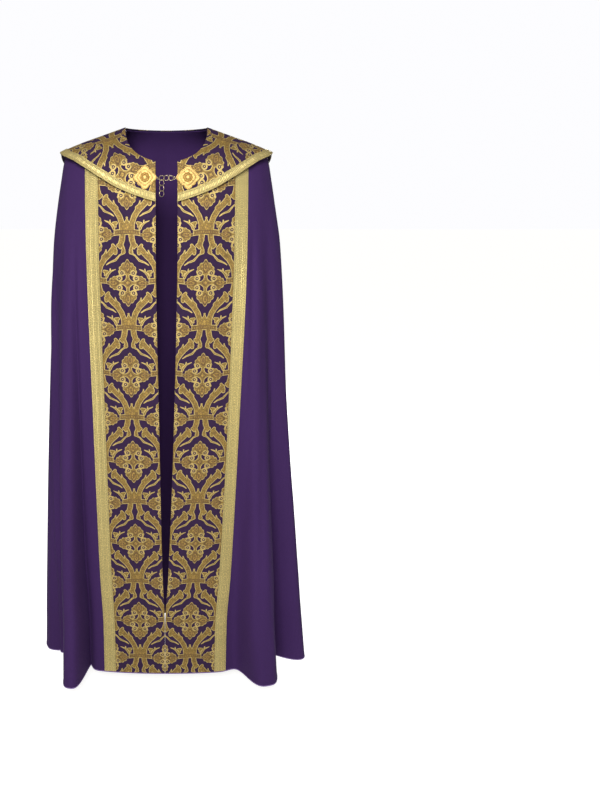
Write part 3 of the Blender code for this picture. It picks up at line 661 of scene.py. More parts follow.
def hood_layer(lift, only_edge=False):
    """Rows and columns of points of one layer of the hood, over both shoulders."""
    half = np.linspace(0, 1, HOOD_COLUMNS + 1)
    inner = 1 - galloon_share(half)
    if only_edge:
        rows = [inner + (1 - inner) * share for share in np.linspace(0, 1, EDGE_ROWS)]
    else:
        shares = np.linspace(0, 1, HOOD_ROWS) ** HOOD_ROW_CROWDING
        rows = [inner * share for share in shares] + [np.ones_like(inner)]
    down = np.array(rows)
    across = np.broadcast_to(half, down.shape)
    step = HOOD_NORMAL_STEP
    point = hood_point(across, down)
    side_way = hood_point(np.minimum(across + step, 1), down)
    side_way = side_way - hood_point(np.maximum(across - step, 0), down)
    down_way = hood_point(across, np.minimum(down + step, 1.0))
    down_way = down_way - hood_point(across, np.maximum(down - step, 0))
    normal = unit(np.cross(down_way, side_way))
    normal[:, -1, 0] = 0
    normal = unit(normal)
    left = point + normal * lift
    left[:, -1, 0] = 0
    right = left[:, -2::-1] * (-1, 1, 1)
    return np.concatenate([left, right], axis=1)


# ---------------------------------------------------------------- sizes and colours
def length_size(name, text, default, low, high):
    """A size that a user can change, in metres."""
    return FloatProperty(
        name=name, description=text, default=default, min=low, max=high, unit="LENGTH", precision=5
    )


def cloth_colour(name, text, default):
    """A colour that a user can change."""
    return FloatVectorProperty(
        name=name, description=text, default=default, size=3, min=0, max=1, subtype="COLOR"
    )


class CopeSizes(PropertyGroup):
    """Sizes of the cope's finer detail."""

    crease: FloatProperty(
        name="Crease depth",
        description="How deep the soft creases between the main folds are",
        default=1.6,
        min=0.0,
        max=2.0,
        subtype="FACTOR",
    )
    thread: length_size("Thread", "Spacing of the threads of the cloth", 0.0011, 0.0002, 0.004)
    damask_width: length_size("Damask width", "Width of the brocade's repeat", 0.172, 0.05, 0.4)
    damask_height: length_size("Damask height", "Height of the brocade's repeat", 0.24, 0.05, 0.6)
    braid_rib: length_size("Braid rib", "Spacing of the galloon's ribs", 0.0042, 0.001, 0.01)
    hem_edge: length_size("Hem edge", "Height of the satin edge on the hem", 0.0030, 0.001, 0.01)
    floor_drop: length_size("Floor drop", "How far the floor lies below the hem", 0.060, 0.0, 0.5)


class CopeColours(PropertyGroup):
    """Colours of the cope's cloths, braids and metal."""

    cloth: cloth_colour("Cloth", "Plain purple cloth", (0.046, 0.0190, 0.088))
    ground: cloth_colour("Brocade ground", "Ground of the brocade", (0.025, 0.0075, 0.040))
    gold: cloth_colour("Brocade gold", "Gold figure of the brocade", (0.350, 0.225, 0.050))
    pale: cloth_colour("Brocade outline", "Pale outline of the figure", (0.560, 0.410, 0.135))
    fleck: cloth_colour("Brocade fleck", "Dark flecks in the figure", (0.085, 0.042, 0.030))
    braid: cloth_colour("Galloon", "Gold threads of the galloon", (0.640, 0.510, 0.190))
    lining: cloth_colour("Lining", "Dark lining of the hood", (0.020, 0.010, 0.042))
    # paler than the cloth: partly the satin's own colour, partly a painted highlight of the hem's
    # turned edge
    satin: cloth_colour("Hem satin", "Satin edge along the hem", (0.210, 0.130, 0.330))
    gilt: cloth_colour("Gilt", "Gilt metal of the plates", (0.690, 0.470, 0.165))
    chain: cloth_colour("Chain", "Pale gilt metal of the rings", (0.870, 0.720, 0.420))
    recess: cloth_colour("Gilt recess", "Tarnish in the clasp's hollows", (0.130, 0.070, 0.020))
    floor: cloth_colour("Floor", "Pale plain floor", (0.500, 0.498, 0.490))


# ---------------------------------------------------------------- shader nodes
VECTORS = ("Place", "Point", "From", "Along")  # sockets of groups that hold more than a number


class Bench:
    """Adds nodes to a tree. A socket given as a value is linked, a number is set."""

    def __init__(self, tree):
        self.tree = tree

    def feed(self, socket, value):
        """Link a socket to an input, or set the input to a number."""
        if isinstance(value, bpy.types.NodeSocket):
            self.tree.links.new(value, socket)
        else:
            socket.default_value = value

    def node(self, kind, feeds=None, **settings):
        """A shader node with its settings, and values for its inputs."""
        made = self.tree.nodes.new("ShaderNode" + kind)
        for name, value in settings.items():
            setattr(made, name, value)
        for name, value in (feeds or {}).items():
            self.feed(made.inputs[name], value)
        return made

    def math(self, operation, *values):
        """The result of a Math node."""
        made = self.node("Math", operation=operation)
        for socket, value in zip(made.inputs, values):
            self.feed(socket, value)
        return made.outputs[0]

    def vector(self, operation, *values):
        """The result of a Vector Math node."""
        made = self.node("VectorMath", operation=operation)
        for socket, value in zip(made.inputs, values):
            self.feed(socket, value)
        return made.outputs["Value" if operation in ("DISTANCE", "DOT_PRODUCT") else "Vector"]

    def scaled(self, place, scale):
        """A place or a way, made longer by a number."""
        made = self.node("VectorMath", {0: place, "Scale": scale}, operation="SCALE")
        return made.outputs["Vector"]

    def step(self, value, low, high):
        """0 below low, 1 above high and smooth between; low may be the higher number."""
        made = self.node("MapRange", interpolation_type="SMOOTHSTEP")
        for name, number in (("Value", value), ("From Min", low), ("From Max", high)):
            self.feed(made.inputs[name], number)
        return made.outputs[0]

    def dye(self, socket, colour):
        """Feed an input with a colour, a socket or three numbers."""
        linked = isinstance(colour, bpy.types.NodeSocket)
        self.feed(socket, colour if linked else (*colour, 1))

    def mix(self, share, first, second):
        """A mix of two colours."""
        made = self.node("Mix", data_type="RGBA")
        self.feed(made.inputs[0], share)
        self.dye(made.inputs[6], first)
        self.dye(made.inputs[7], second)
        return made.outputs[2]

    def near(self, value, middle, far, close):
        """1 where a value lies close to a number, falling to 0 where it lies far from it."""
        off = self.math("ABSOLUTE", self.math("SUBTRACT", value, middle))
        return self.step(off, far, close)

    def length(self, across, up):
        """Length of a way that goes across and up."""
        squares = [self.math("MULTIPLY", side, side) for side in (across, up)]
        return self.math("SQRT", self.math("ADD", *squares))

    def noise(self, place, scale, detail):
        """Noise about 0.5 at a place."""
        feeds = {"Vector": place, "Scale": scale, "Detail": detail, "Roughness": 0.5}
        return self.node("TexNoise", feeds).outputs[0]

    def group(self, tree, feeds):
        """The outputs of a node group."""
        made = self.tree.nodes.new("ShaderNodeGroup")
        made.node_tree = tree
        for name, value in feeds.items():
            self.feed(made.inputs[name], value)
        return made.outputs


def node_group(name, ins, outs):
    """A new group: its bench, its inputs and its output sockets."""
    tree = bpy.data.node_groups.new(name, "ShaderNodeTree")
    for way, labels in (("INPUT", ins), ("OUTPUT", outs)):
        for label in labels:
            kind = "NodeSocketVector" if label in VECTORS else "NodeSocketFloat"
            tree.interface.new_socket(name=label, in_out=way, socket_type=kind)
    start = tree.nodes.new("NodeGroupInput")
    end = tree.nodes.new("NodeGroupOutput")
    return Bench(tree), start.outputs, end.inputs


def kept_group(build):
    """The group that a function builds, made once."""
    return bpy.data.node_groups.get(build.__name__) or build()


def threads():
    """Plain weave: threads over and under each other, and slubs along them. Its shade is painted
    shade of that relief: darker where the weave dips, lighter on high threads.
    """
    bench, given, gives = node_group("threads", ("Place", "Thread"), ("Height", "Shade"))
    turns = bench.scaled(given["Place"], bench.math("DIVIDE", math.pi, given["Thread"]))
    split = bench.node("SeparateXYZ", {0: turns}).outputs
    warp, weft = bench.math("SINE", split[0]), bench.math("SINE", split[1])
    height = bench.math("MULTIPLY_ADD", bench.math("MULTIPLY", warp, weft), 0.5, 0.5)
    long_way = bench.vector("MULTIPLY", given["Place"], (1.0, SLUB_DRAW, 1.0))
    slub = bench.noise(long_way, SLUBS, 2.0)
    height = bench.math("MULTIPLY_ADD", slub, 0.8, bench.math("MULTIPLY", height, 0.6))
    bench.feed(gives["Height"], height)
    # painted shade: the weave's height turned into lighter and darker colour
    bench.feed(gives["Shade"], bench.math("MULTIPLY_ADD", height, 0.35, 0.76))
    return bench.tree


def braid():
    """Metal braid: slanting ribs that meet in its middle, corded edges and a row of stitches. Its
    shade is painted from that relief: lighter on ribs and cords, darker in the grooves.

    The place across is the distance from the nearer edge.
    """
    bench, given, gives = node_group("braid", ("Place", "Rib"), ("Height", "Shade"))
    across, along = bench.node("SeparateXYZ", {0: given["Place"]}).outputs[:2]
    width = bench.math("MULTIPLY", given["Rib"], BRAID_COLUMN)
    turn = bench.math("PINGPONG", across, width)
    slant = bench.math("MULTIPLY_ADD", turn, RIB_SLANT, along)
    rib = bench.math("DIVIDE", bench.math("MULTIPLY", slant, math.pi), given["Rib"])
    rib = bench.math("POWER", bench.math("ABSOLUTE", bench.math("SINE", rib)), 0.7)
    share = bench.math("DIVIDE", turn, width)
    groove = bench.math("ABSOLUTE", bench.math("MULTIPLY_ADD", share, 2.0, -1.0))
    groove = bench.step(groove, 1.0, 0.72)
    height = bench.math("MULTIPLY", rib, bench.math("MULTIPLY_ADD", groove, 0.7, 0.3))
    cord = bench.math("MULTIPLY", bench.math("ADD", across, along), CORD_TWIST)
    cord = bench.math("MULTIPLY_ADD", bench.math("SINE", cord), 0.25, 0.70)
    edge = bench.step(across, CORD_WIDTH + 0.0002, CORD_WIDTH - 0.0002)
    height = bench.math("MULTIPLY_ADD", edge, bench.math("SUBTRACT", cord, height), height)
    row = bench.near(across, STITCH_ROW, 0.0006, 0.0003)
    stitch = bench.math("PINGPONG", along, STITCH_SPACING)
    stitch = bench.math("MULTIPLY", row, bench.step(stitch, 0.0003, 0.0007))
    wire = bench.math("MULTIPLY", bench.math("ADD", across, along), WIRE_TWIST)
    wire = bench.math("SINE", wire)
    height = bench.math("MULTIPLY_ADD", wire, 0.06, height)
    # painted shade: lighter on the raised ribs and cords, darker in the grooves between them
    shade = bench.math("MULTIPLY_ADD", height, 0.82, 0.37)
    bench.feed(gives["Height"], bench.math("MULTIPLY_ADD", stitch, -0.45, height))
    bench.feed(gives["Shade"], bench.math("MULTIPLY_ADD", stitch, -0.30, shade))
    return bench.tree


def damask_stroke():
    """The nearer of a distance and the distance to a stroke that changes its width."""
    bench, given, gives = node_group(
        "damask_stroke", ("Point", "From", "Along", "Radius", "Growth", "Distance"),
        ("Distance",))
    off = bench.vector("SUBTRACT", given["Point"], given["From"])
    way = bench.vector("DOT_PRODUCT", off, given["Along"])
    size = bench.vector("DOT_PRODUCT", given["Along"], given["Along"])
    share = bench.math("DIVIDE", way, size)
    share = bench.math("MINIMUM", bench.math("MAXIMUM", share, 0.0), 1.0)
    away = bench.vector("DISTANCE", off, bench.scaled(given["Along"], share))
    wide = bench.math("MULTIPLY_ADD", share, given["Growth"], given["Radius"])
    distance = bench.math("SUBTRACT", away, wide)
    bench.feed(gives["Distance"], bench.math("MINIMUM", distance, given["Distance"]))
    return bench.tree


def damask_fan():
    """A palmette with a scalloped edge that opens upwards from its base, and its veins."""
    bench, given, gives = node_group(
        "damask_fan", ("Point", "Base", "Reach", "Side Reach", "Distance", "Vein"),
        ("Distance", "Vein"))
    across, up = bench.node("SeparateXYZ", {0: given["Point"]}).outputs[:2]
    up = bench.math("SUBTRACT", up, given["Base"])
    turn = bench.math("ABSOLUTE", bench.math("ARCTAN2", across, up))
    away = bench.length(across, up)
    fall = bench.math("DIVIDE", turn, FAN_FALL)
    spread = bench.math("SUBTRACT", given["Side Reach"], given["Reach"])
    edge = bench.math("MULTIPLY_ADD", fall, spread, given["Reach"])
    lobe = bench.math("ABSOLUTE", bench.math("COSINE", bench.math("MULTIPLY", turn, FAN_WAVES)))
    tip = bench.math("MULTIPLY_ADD", bench.step(turn, 0.22, 0.0), FAN_TIP, edge)
    edge = bench.math("MULTIPLY_ADD", lobe, FAN_WAVE_HEIGHT, bench.math("SUBTRACT", tip, 0.010))
    side = bench.math("MULTIPLY", bench.math("SUBTRACT", turn, FAN_EDGE), away)
    distance = bench.math("MAXIMUM", bench.math("SUBTRACT", away, edge), side)
    cleft = bench.step(lobe, 0.40, 0.10)
    ring = bench.step(bench.math("SUBTRACT", away, edge), -0.11, -0.07)
    half_width, half_height = FAN_LEAF
    wide = bench.math("DIVIDE", across, half_width)
    middle = bench.math("MULTIPLY", given["Reach"], FAN_LEAF_PLACE)
    high = bench.math("DIVIDE", bench.math("SUBTRACT", up, middle), half_height)
    leaf = bench.length(wide, high)
    outline = bench.near(leaf, 1.0, 0.26, 0.08)
    bead = bench.near(leaf, 0.30, 0.22, 0.10)
    cleft = bench.math("MULTIPLY", bench.math("MULTIPLY", cleft, ring), bench.step(leaf, 1.0, 1.2))
    inside = bench.step(distance, 0.0, VEIN_DEPTH)
    marks = bench.math("MAXIMUM", bench.math("MAXIMUM", cleft, outline), bead)
    vein = bench.math("MULTIPLY", marks, inside)
    bench.feed(gives["Distance"], bench.math("MINIMUM", distance, given["Distance"]))
    bench.feed(gives["Vein"], bench.math("MAXIMUM", vein, given["Vein"]))
    return bench.tree


def damask_motif():
    """Distance to one cross with its crown, tendrils and arms, for a point right of it."""
    bench, given, gives = node_group("damask_motif", ("Point",), ("Distance", "Vein"))
    point = given["Point"]
    distance = 9.0  # farther off than any stroke
    for stroke in table_rows(DAMASK_STROKES, STROKE_COLUMNS):
        distance = bench.group(kept_group(damask_stroke), {
            "Point": point,
            "From": (stroke["from_x"], stroke["from_y"], 0),
            "Along": (stroke["to_x"] - stroke["from_x"], stroke["to_y"] - stroke["from_y"], 0),
            "Radius": stroke["from_radius"],
            "Growth": stroke["to_radius"] - stroke["from_radius"],
            "Distance": distance,
        })["Distance"]
    across, up = bench.node("SeparateXYZ", {0: point}).outputs[:2]
    beside = bench.math("SUBTRACT", across, 0.5)
    droop = bench.math("MULTIPLY_ADD", bench.math("MULTIPLY", beside, beside), 0.4, up)
    level = bench.math("ABSOLUTE", bench.math("SUBTRACT", droop, CROWN_HALF_HEIGHT))
    crown = bench.math("MAXIMUM",
                       bench.math("SUBTRACT", bench.math("ABSOLUTE", beside), CROWN_HALF_WIDTH),
                       bench.math("SUBTRACT", level, CROWN_HALF_HEIGHT))
    distance = bench.math("MINIMUM", distance, crown)
    line = bench.near(level, CROWN_LINE, 0.007, 0.003)
    bead = bench.math("SINE", bench.math("MULTIPLY", beside, CROWN_BEADS))
    bead = bench.math("MULTIPLY", bench.step(bead, 0.2, 0.8), bench.step(level, 0.016, 0.010))
    vein = bench.math("MULTIPLY", bench.math("MAXIMUM", line, bead), bench.step(crown, 0.0, -0.01))
    quarter = bench.vector("ABSOLUTE", point)
    right, top = bench.node("SeparateXYZ", {0: quarter}).outputs[:2]
    turned = bench.node("CombineXYZ", {0: top, 1: right}).outputs[0]
    for fan, place in zip(table_rows(DAMASK_FANS, FAN_COLUMNS), (quarter, turned)):
        found = bench.group(kept_group(damask_fan), {
            "Point": place, "Base": fan["base"], "Reach": fan["reach"],
            "Side Reach": fan["side_reach"], "Distance": distance, "Vein": vein,
        })
        distance, vein = found["Distance"], found["Vein"]
    square = bench.math("SUBTRACT", bench.math("MAXIMUM", right, top), SQUARE_HALF)
    hollow = bench.vector("DISTANCE", quarter, (NOTCH_PLACE, NOTCH_PLACE, 0))
    notch = bench.math("SUBTRACT", NOTCH_RADIUS, hollow)
    distance = bench.math("MINIMUM", distance, bench.math("MAXIMUM", square, notch))
    for x, y, radius in DAMASK_VOLUTES.values():
        away = bench.vector("DISTANCE", quarter, (x, y, 0))
        distance = bench.math("MAXIMUM", distance, bench.math("SUBTRACT", radius, away))
        ring = bench.math("ABSOLUTE", bench.math("SUBTRACT", away, radius))
        distance = bench.math("MINIMUM", distance, bench.math("SUBTRACT", ring, VOLUTE_LINE))
        distance = bench.math("MINIMUM", distance, bench.math("SUBTRACT", away, VOLUTE_DOT))
    star = bench.near(bench.math("ADD", right, top), STAR_REACH, 0.012, 0.006)
    vein = bench.math("MAXIMUM", vein, star)
    bench.feed(gives["Distance"], distance)
    bench.feed(gives["Vein"], vein)
    return bench.tree


def damask():
    """Ogee damask with a half-drop repeat: how deep a place lies in its gold figure."""
    bench, given, gives = node_group(
        "damask", ("Place", "Width", "Height"), ("Distance", "Vein"))
    size = bench.math("DIVIDE", 1.0, given["Width"])
    place = bench.scaled(given["Place"], size)
    shake = bench.node("TexNoise", {"Vector": place, "Scale": SHAKE_SCALE, "Detail": 1.0})
    shake = bench.vector("SUBTRACT", shake.outputs["Color"], (0.5, 0.5, 0.5))
    place = bench.vector("MULTIPLY_ADD", shake, (SHAKE, SHAKE, 0.0), place)
    across, up = bench.node("SeparateXYZ", {0: place}).outputs[:2]
    repeat = bench.math("MULTIPLY", given["Height"], size)
    top = bench.math("ADD", repeat, MOTIF_FOOT)
    half = bench.math("MULTIPLY", repeat, 0.5)
    beside = bench.math("ABSOLUTE", bench.math("WRAP", across, 0.5, -0.5))
    first = bench.node("CombineXYZ", {
        0: beside, 1: bench.math("WRAP", up, top, MOTIF_FOOT)}).outputs[0]
    second = bench.node("CombineXYZ", {
        0: bench.math("SUBTRACT", 0.5, beside),
        1: bench.math("WRAP", bench.math("ADD", up, half), top, MOTIF_FOOT)}).outputs[0]
    motif = kept_group(damask_motif)
    one, other = (bench.group(motif, {"Point": point}) for point in (first, second))
    bench.feed(gives["Distance"], bench.math("MINIMUM", one["Distance"], other["Distance"]))
    bench.feed(gives["Vein"], bench.math("MAXIMUM", one["Vein"], other["Vein"]))
    return bench.tree


# ---------------------------------------------------------------- finishes
def finish(name):
    """The material of a finish, built once by the function of its name."""
    found = bpy.data.materials.get(f"{name}_finish")
    if found:
        return found
    made = bpy.data.materials.new(f"{name}_finish")
    made.use_nodes = True
    bench = Bench(made.node_tree)
    shader = made.node_tree.nodes["Principled BSDF"]
    colours, sizes = bpy.context.scene.cope_colours, bpy.context.scene.cope_sizes
    for label, value in FINISHES[name](bench, colours, sizes).items():
        bench.feed(shader.inputs[label], value)
    return made


def bump(bench, height, distance):
    """A Bump node's normal for a height that is 1 at its highest."""
    feeds = {"Height": height, "Distance": distance, "Strength": 1.0}
    return bench.node("Bump", feeds).outputs[0]


def tinted(bench, shade, colour):
    """A colour made lighter and darker by a shade that is about 1."""
    made = bench.node("HueSaturation", {"Value": shade})
    bench.dye(made.inputs["Color"], colour)
    return made.outputs[0]


def cloth_place(bench):
    """Distances across and along the cloth."""
    return bench.node("UVMap", uv_map="cloth").outputs[0]


def woven(bench, place, sizes):
    """Height and shade of the threads of a plain weave."""
    return bench.group(kept_group(threads), {"Place": place, "Thread": sizes.thread})


def purple_cloth(bench, colours, sizes):
    """Matt plain cloth, worn unevenly along its length."""
    place = cloth_place(bench)
    weave = woven(bench, place, sizes)
    long_way = bench.vector("MULTIPLY", place, (1.0, PLAIN_WEAR_DRAW, 1.0))
    wear = bench.math("MULTIPLY_ADD", bench.noise(long_way, PLAIN_WEAR, 3.0), 0.30, 0.86)
    # random wear, times the weave's painted shade
    shade = bench.math("MULTIPLY", wear, weave["Shade"])
    return {
        "Base Color": tinted(bench, shade, colours.cloth),
        "Roughness": bench.math("MULTIPLY_ADD", weave["Height"], 0.12, 0.70),
        "Normal": bump(bench, weave["Height"], 0.00035),
        "Specular IOR Level": 0.10,
        "Sheen Weight": 0.03,
        "Sheen Roughness": 0.40,
        "Sheen Tint": (0.55, 0.40, 0.85, 1),
    }


def brocade(bench, colours, sizes):
    """Damask in metal thread: a pale outline, a gold figure with scales and veins, its ground."""
    place = cloth_place(bench)
    figure = bench.group(kept_group(damask), {
        "Place": place, "Width": sizes.damask_width, "Height": sizes.damask_height})
    weave = woven(bench, place, sizes)
    depth = bench.node("MapRange", {
        "Value": figure["Distance"], "From Min": -0.060, "From Max": 0.012}).outputs[0]
    ramp = bench.node("ValToRGB", {0: depth})
    stops = ramp.color_ramp.elements
    stops.remove(stops[1])
    dark = tuple(0.30 * value for value in colours.gold)
    light = tuple(1.35 * value for value in colours.gold)
    bands = ((0.14, light), (0.24, colours.gold), (0.62, colours.gold), (0.66, dark),
             (0.69, dark), (0.72, colours.pale), (0.83, colours.pale), (0.87, colours.ground))
    stops[0].color = (*light, 1)
    for at, shade in bands:
        stops.new(at).color = (*shade, 1)
    scales = bench.node(
        "TexVoronoi", {"Vector": place, "Scale": SCALES}, feature="DISTANCE_TO_EDGE")
    deep = bench.step(depth, 0.66, 0.55)
    seam = bench.math("MULTIPLY", bench.step(scales.outputs["Distance"], 0.16, 0.04), deep)
    fleck = bench.step(bench.noise(place, FLECKS, 1.0), 0.54, 0.64)
    mark = bench.math("MAXIMUM", seam, bench.math("MULTIPLY", fleck, deep))
    mark = bench.math("MULTIPLY", mark, 0.60)
    mark = bench.math("MAXIMUM", mark, bench.math("MULTIPLY", figure["Vein"], 0.85))
    colour = bench.mix(mark, ramp.outputs[0], colours.fleck)
    gold = bench.math("MULTIPLY", bench.step(depth, 0.87, 0.82), bench.math("SUBTRACT", 1.0, mark))
    worn = bench.math("MULTIPLY_ADD", bench.noise(place, BROCADE_WEAR, 2.0), 0.7, 0.66)
    # the weave's painted shade, times random wear
    shade = bench.math("MULTIPLY", weave["Shade"], worn)
    return {
        "Base Color": tinted(bench, shade, colour),
        "Metallic": bench.math("MULTIPLY", gold, 0.45),
        "Roughness": bench.math("MULTIPLY_ADD", gold, -0.34, 0.78),
        "Normal": bump(bench, weave["Height"], 0.0004),
        "Specular IOR Level": 0.30,
    }


def galloon(bench, colours, sizes):
    """Gold braid with painted glints: small random spots made lighter, standing in for sparkle."""
    place = cloth_place(bench)
    weave = bench.group(kept_group(braid), {"Place": place, "Rib": sizes.braid_rib})
    worn = bench.math("MULTIPLY_ADD", bench.noise(place, BRAID_WEAR, 3.0), 0.25, 0.84)
    # painted glints: small random spots made lighter as highlights, multiplied into the wear and
    # the braid's painted shade
    painted_glint = bench.step(bench.noise(place, PAINTED_GLINTS, 1.0), 0.46, 0.66)
    worn = bench.math("MULTIPLY", worn, bench.math("MULTIPLY_ADD", painted_glint, 0.46, 0.84))
    shade = bench.math("MULTIPLY", worn, weave["Shade"])
    return {
        "Base Color": tinted(bench, shade, colours.braid),
        "Metallic": bench.math("MULTIPLY", weave["Height"], 0.55),
        "Roughness": bench.math("MULTIPLY_ADD", weave["Height"], -0.18, 0.58),
        "Normal": bump(bench, weave["Height"], 0.0007),
    }


def smooth_cloth(bench, sizes, colour, rough):
    """Fine plain cloth of one colour."""
    weave = woven(bench, cloth_place(bench), sizes)
    return {
        # coloured with the weave's painted shade
        "Base Color": tinted(bench, weave["Shade"], colour),
        "Roughness": bench.math("MULTIPLY_ADD", weave["Height"], 0.10, rough),
        "Normal": bump(bench, weave["Height"], 0.0002),
    }


def dark_lining(bench, colours, sizes):
    """Lining of the hood."""
    return smooth_cloth(bench, sizes, colours.lining, 0.55)


def hem_satin_and_highlight(bench, colours, sizes):
    """Satin along the hem, paler than the cloth: partly a painted highlight of the hem's turned
    edge.
    """
    return smooth_cloth(bench, sizes, colours.satin, 0.38)


def cast_metal(bench, bright, dull, rough, grain):
    """Cast metal, duller where it is hollow; the grain is its fineness and its height."""
    place = bench.node("TexCoord").outputs["Object"]
    hollow = bench.node("NewGeometry").outputs["Pointiness"]
    worn = bench.noise(place, METAL_WEAR, 3.0)
    fineness, height = grain
    cast = bench.noise(place, fineness, 2.0)
    recess = bench.step(bench.math("MULTIPLY_ADD", worn, 0.03, hollow), 0.510, 0.485)
    colour = bench.mix(bench.math("MULTIPLY", recess, 0.5), bright, dull)
    return {
        "Base Color": tinted(bench, bench.math("MULTIPLY_ADD", worn, 0.4, 0.68), colour),
        "Metallic": 1.0,
        "Roughness": bench.math("MULTIPLY_ADD", worn, 0.16, rough),
        "Normal": bump(bench, cast, height),
    }


def gilt_metal(bench, colours, sizes):
    """Coarse gilt casting of the plates."""
    return cast_metal(bench, colours.gilt, colours.recess, 0.42, GILT_GRAIN)


def chain_metal(bench, colours, sizes):
    """Smooth gilt wire of the rings."""
    return cast_metal(bench, colours.chain, colours.recess, 0.20, CHAIN_GRAIN)


def glow(bench, to_cope, to_camera):
    """Strength of a light that is brighter to the camera than to the cope."""
    seen = bench.node("LightPath").outputs["Is Camera Ray"]
    return bench.math("MULTIPLY_ADD", seen, to_camera - to_cope, to_cope)


def pale_floor(bench, colours, sizes):
    """Pale floor that glows a little."""
    place = bench.node("TexCoord").outputs["Object"]
    mottle = bench.math("MULTIPLY_ADD", bench.noise(place, FLOOR_MOTTLE, 2.0), 0.02, 0.99)
    strength = glow(bench, *FLOOR_GLOWS)
    return {
        "Base Color": tinted(bench, mottle, colours.floor),
        "Roughness": bench.math("MULTIPLY_ADD", mottle, 0.1, 0.7),
        "Emission Color": tinted(bench, strength, FLOOR_LIGHT),
        "Emission Strength": 1.0,
    }


FINISHES = {
    build.__name__: build
    for build in (purple_cloth, brocade, galloon, dark_lining, hem_satin_and_highlight, gilt_metal,
                  chain_metal, pale_floor)
}


# ---------------------------------------------------------------- pieces
def finished_mesh(name, shape):
    """The mesh of a bmesh, which is then freed."""
    mesh = bpy.data.meshes.new(name)
    shape.to_mesh(mesh)
    shape.free()
    return mesh


def round_edges(piece, width):
    """Round a piece's sharp edges."""
    edge = piece.modifiers.new("edge", "BEVEL")
    edge.width = width
    edge.segments = 2
    edge.limit_method = "ANGLE"
    edge.angle_limit = EDGE_ANGLE
    edge.harden_normals = True


def close_up(shape):
    """Fill a shape's open ends, turn its faces outwards and smooth those with four corners."""
    bmesh.ops.holes_fill(shape, edges=[edge for edge in shape.edges if edge.is_boundary])
    bmesh.ops.recalc_face_normals(shape, faces=shape.faces)
    for face in shape.faces:
        face.smooth = len(face.verts) == 4


def add_piece(name, mesh, look, body="cope", stands_for=()):
    """An object for a mesh that rides on a body and stands for its solids."""
    made = bpy.data.objects.new(name, mesh)
    mesh.materials.append(finish(look))
    bpy.context.scene.collection.objects.link(made)
    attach(made, body)
    if stands_for:
        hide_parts(*stands_for)
    return made


def add_cloth(name, points, places, wall, look, stands_for=()):
    """A panel of cloth: a grid laid on its points, with its wall and rounded edges.

    Places are each point's distances across and along the cloth, for its pattern.
    """
    rows, columns = points.shape[:2]
    shape = bmesh.new()
    bmesh.ops.create_grid(shape, x_segments=columns - 1, y_segments=rows - 1, size=1)
    cloth_map = shape.loops.layers.uv.new("cloth")
    spots = {}
    for vertex in shape.verts:
        i = round((vertex.co.x + 1) / 2 * (columns - 1))
        j = round((vertex.co.y + 1) / 2 * (rows - 1))
        vertex.co = points[j, i]
        spots[vertex] = (j, i)
    for face in shape.faces:
        face.smooth = True
        for loop in face.loops:
            loop[cloth_map].uv = places[spots[loop.vert]]
    shape.normal_update()
    middle = Vector((0, 0, points[..., 2].mean()))
    if sum(face.normal.dot(face.calc_center_median() - middle) for face in shape.faces) < 0:
        bmesh.ops.reverse_faces(shape, faces=shape.faces)
    made = add_piece(name, finished_mesh(name, shape), look, stands_for=stands_for)
    thick = made.modifiers.new("wall", "SOLIDIFY")
    thick.thickness = wall
    thick.offset = 1
    thick.use_even_offset = True
    thick.use_quality_normals = True
    round_edges(made, wall * EDGE_ROUND)
    return made


def chart(across, along):
    """Places of a panel's points: their distances across and along the cloth."""
    return np.stack(np.broadcast_arrays(across, along), axis=-1)


def build_mantle():
    """The two halves of the plain cloth, with the satin edge along each hem, whose pale colour is
    partly a painted highlight.
    """
    for side, name in SIDES:
        girths = np.concatenate([
            np.linspace(0, FRONT_BROCADE, UNDER_FRONT_POINTS),
            np.linspace(FRONT_BROCADE, FRONT_BAND, UNDER_GALLOON_POINTS)[1:-1],
            body_girths(side),
            HALF_GIRTH - np.linspace(BACK_BROCADE, 0, UNDER_BACK_POINTS)])
        heights = row_heights(side, girths)
        points = mantle_layer(side, girths, heights, 0.0)
        points[:, -1, 0] = -side * SEAM_LAP
        half = add_cloth(f"mantle_{name}_cloth", points, chart(side * girths, heights), WALL,
                         "purple_cloth", stands_for=[f"mantle_{name}"])
        edge = bpy.context.scene.cope_sizes.hem_edge
        levels = np.array([np.full_like(girths, HEM + edge), np.full_like(girths, HEM)])
        line = mantle_layer(side, girths, levels, WALL + HEM_EDGE_GAP)
        # the satin edge, its pale colour partly a painted highlight of the turned hem
        hem = add_cloth(f"hem_edge_{name}", line, chart(side * girths, levels), HEM_EDGE_WALL,
                        "hem_satin_and_highlight")


def build_bands():
    """Brocade orphreys and their galloons, down both fronts and down the back."""
    lift, last = WALL + SEWN, HEM + EDGE_MARGIN
    for side, name in SIDES:
        for kind, (first, end, columns, wall, look) in STRIPS.items():
            girths = np.linspace(first, end, columns)
            heights = row_heights(side, girths, BAND_FIRST_ROW, last)
            points = mantle_layer(side, girths, heights, lift)
            across = girths - (first + end) / 2
            if look == "galloon":
                across = (end - first) / 2 - np.abs(across)
            band = add_cloth(f"{kind}_{name}_cloth", points, chart(across, heights - FRONT_CROSS),
                             wall, look, stands_for=[f"{kind}_{name}"])
    girths = HALF_GIRTH - np.linspace(BACK_BROCADE, 0, BACK_POINTS)
    halves, charts = [], []
    for side, _ in SIDES:
        heights = row_heights(side, girths, BAND_FIRST_ROW, last)
        half = mantle_layer(side, girths, heights, lift)
        half[:, -1, 0] = 0
        halves.append(half)
        charts.append(chart((HALF_GIRTH - girths) * side, heights - BACK_CROSS))
    whole = np.concatenate([halves[0], halves[1][:, -2::-1]], axis=1)
    places = np.concatenate([charts[0], charts[1][:, -2::-1]], axis=1)
    band = add_cloth("orphrey_back_cloth", whole, places, ORPHREY_WALL, "brocade",
                     stands_for=["orphrey_back"])


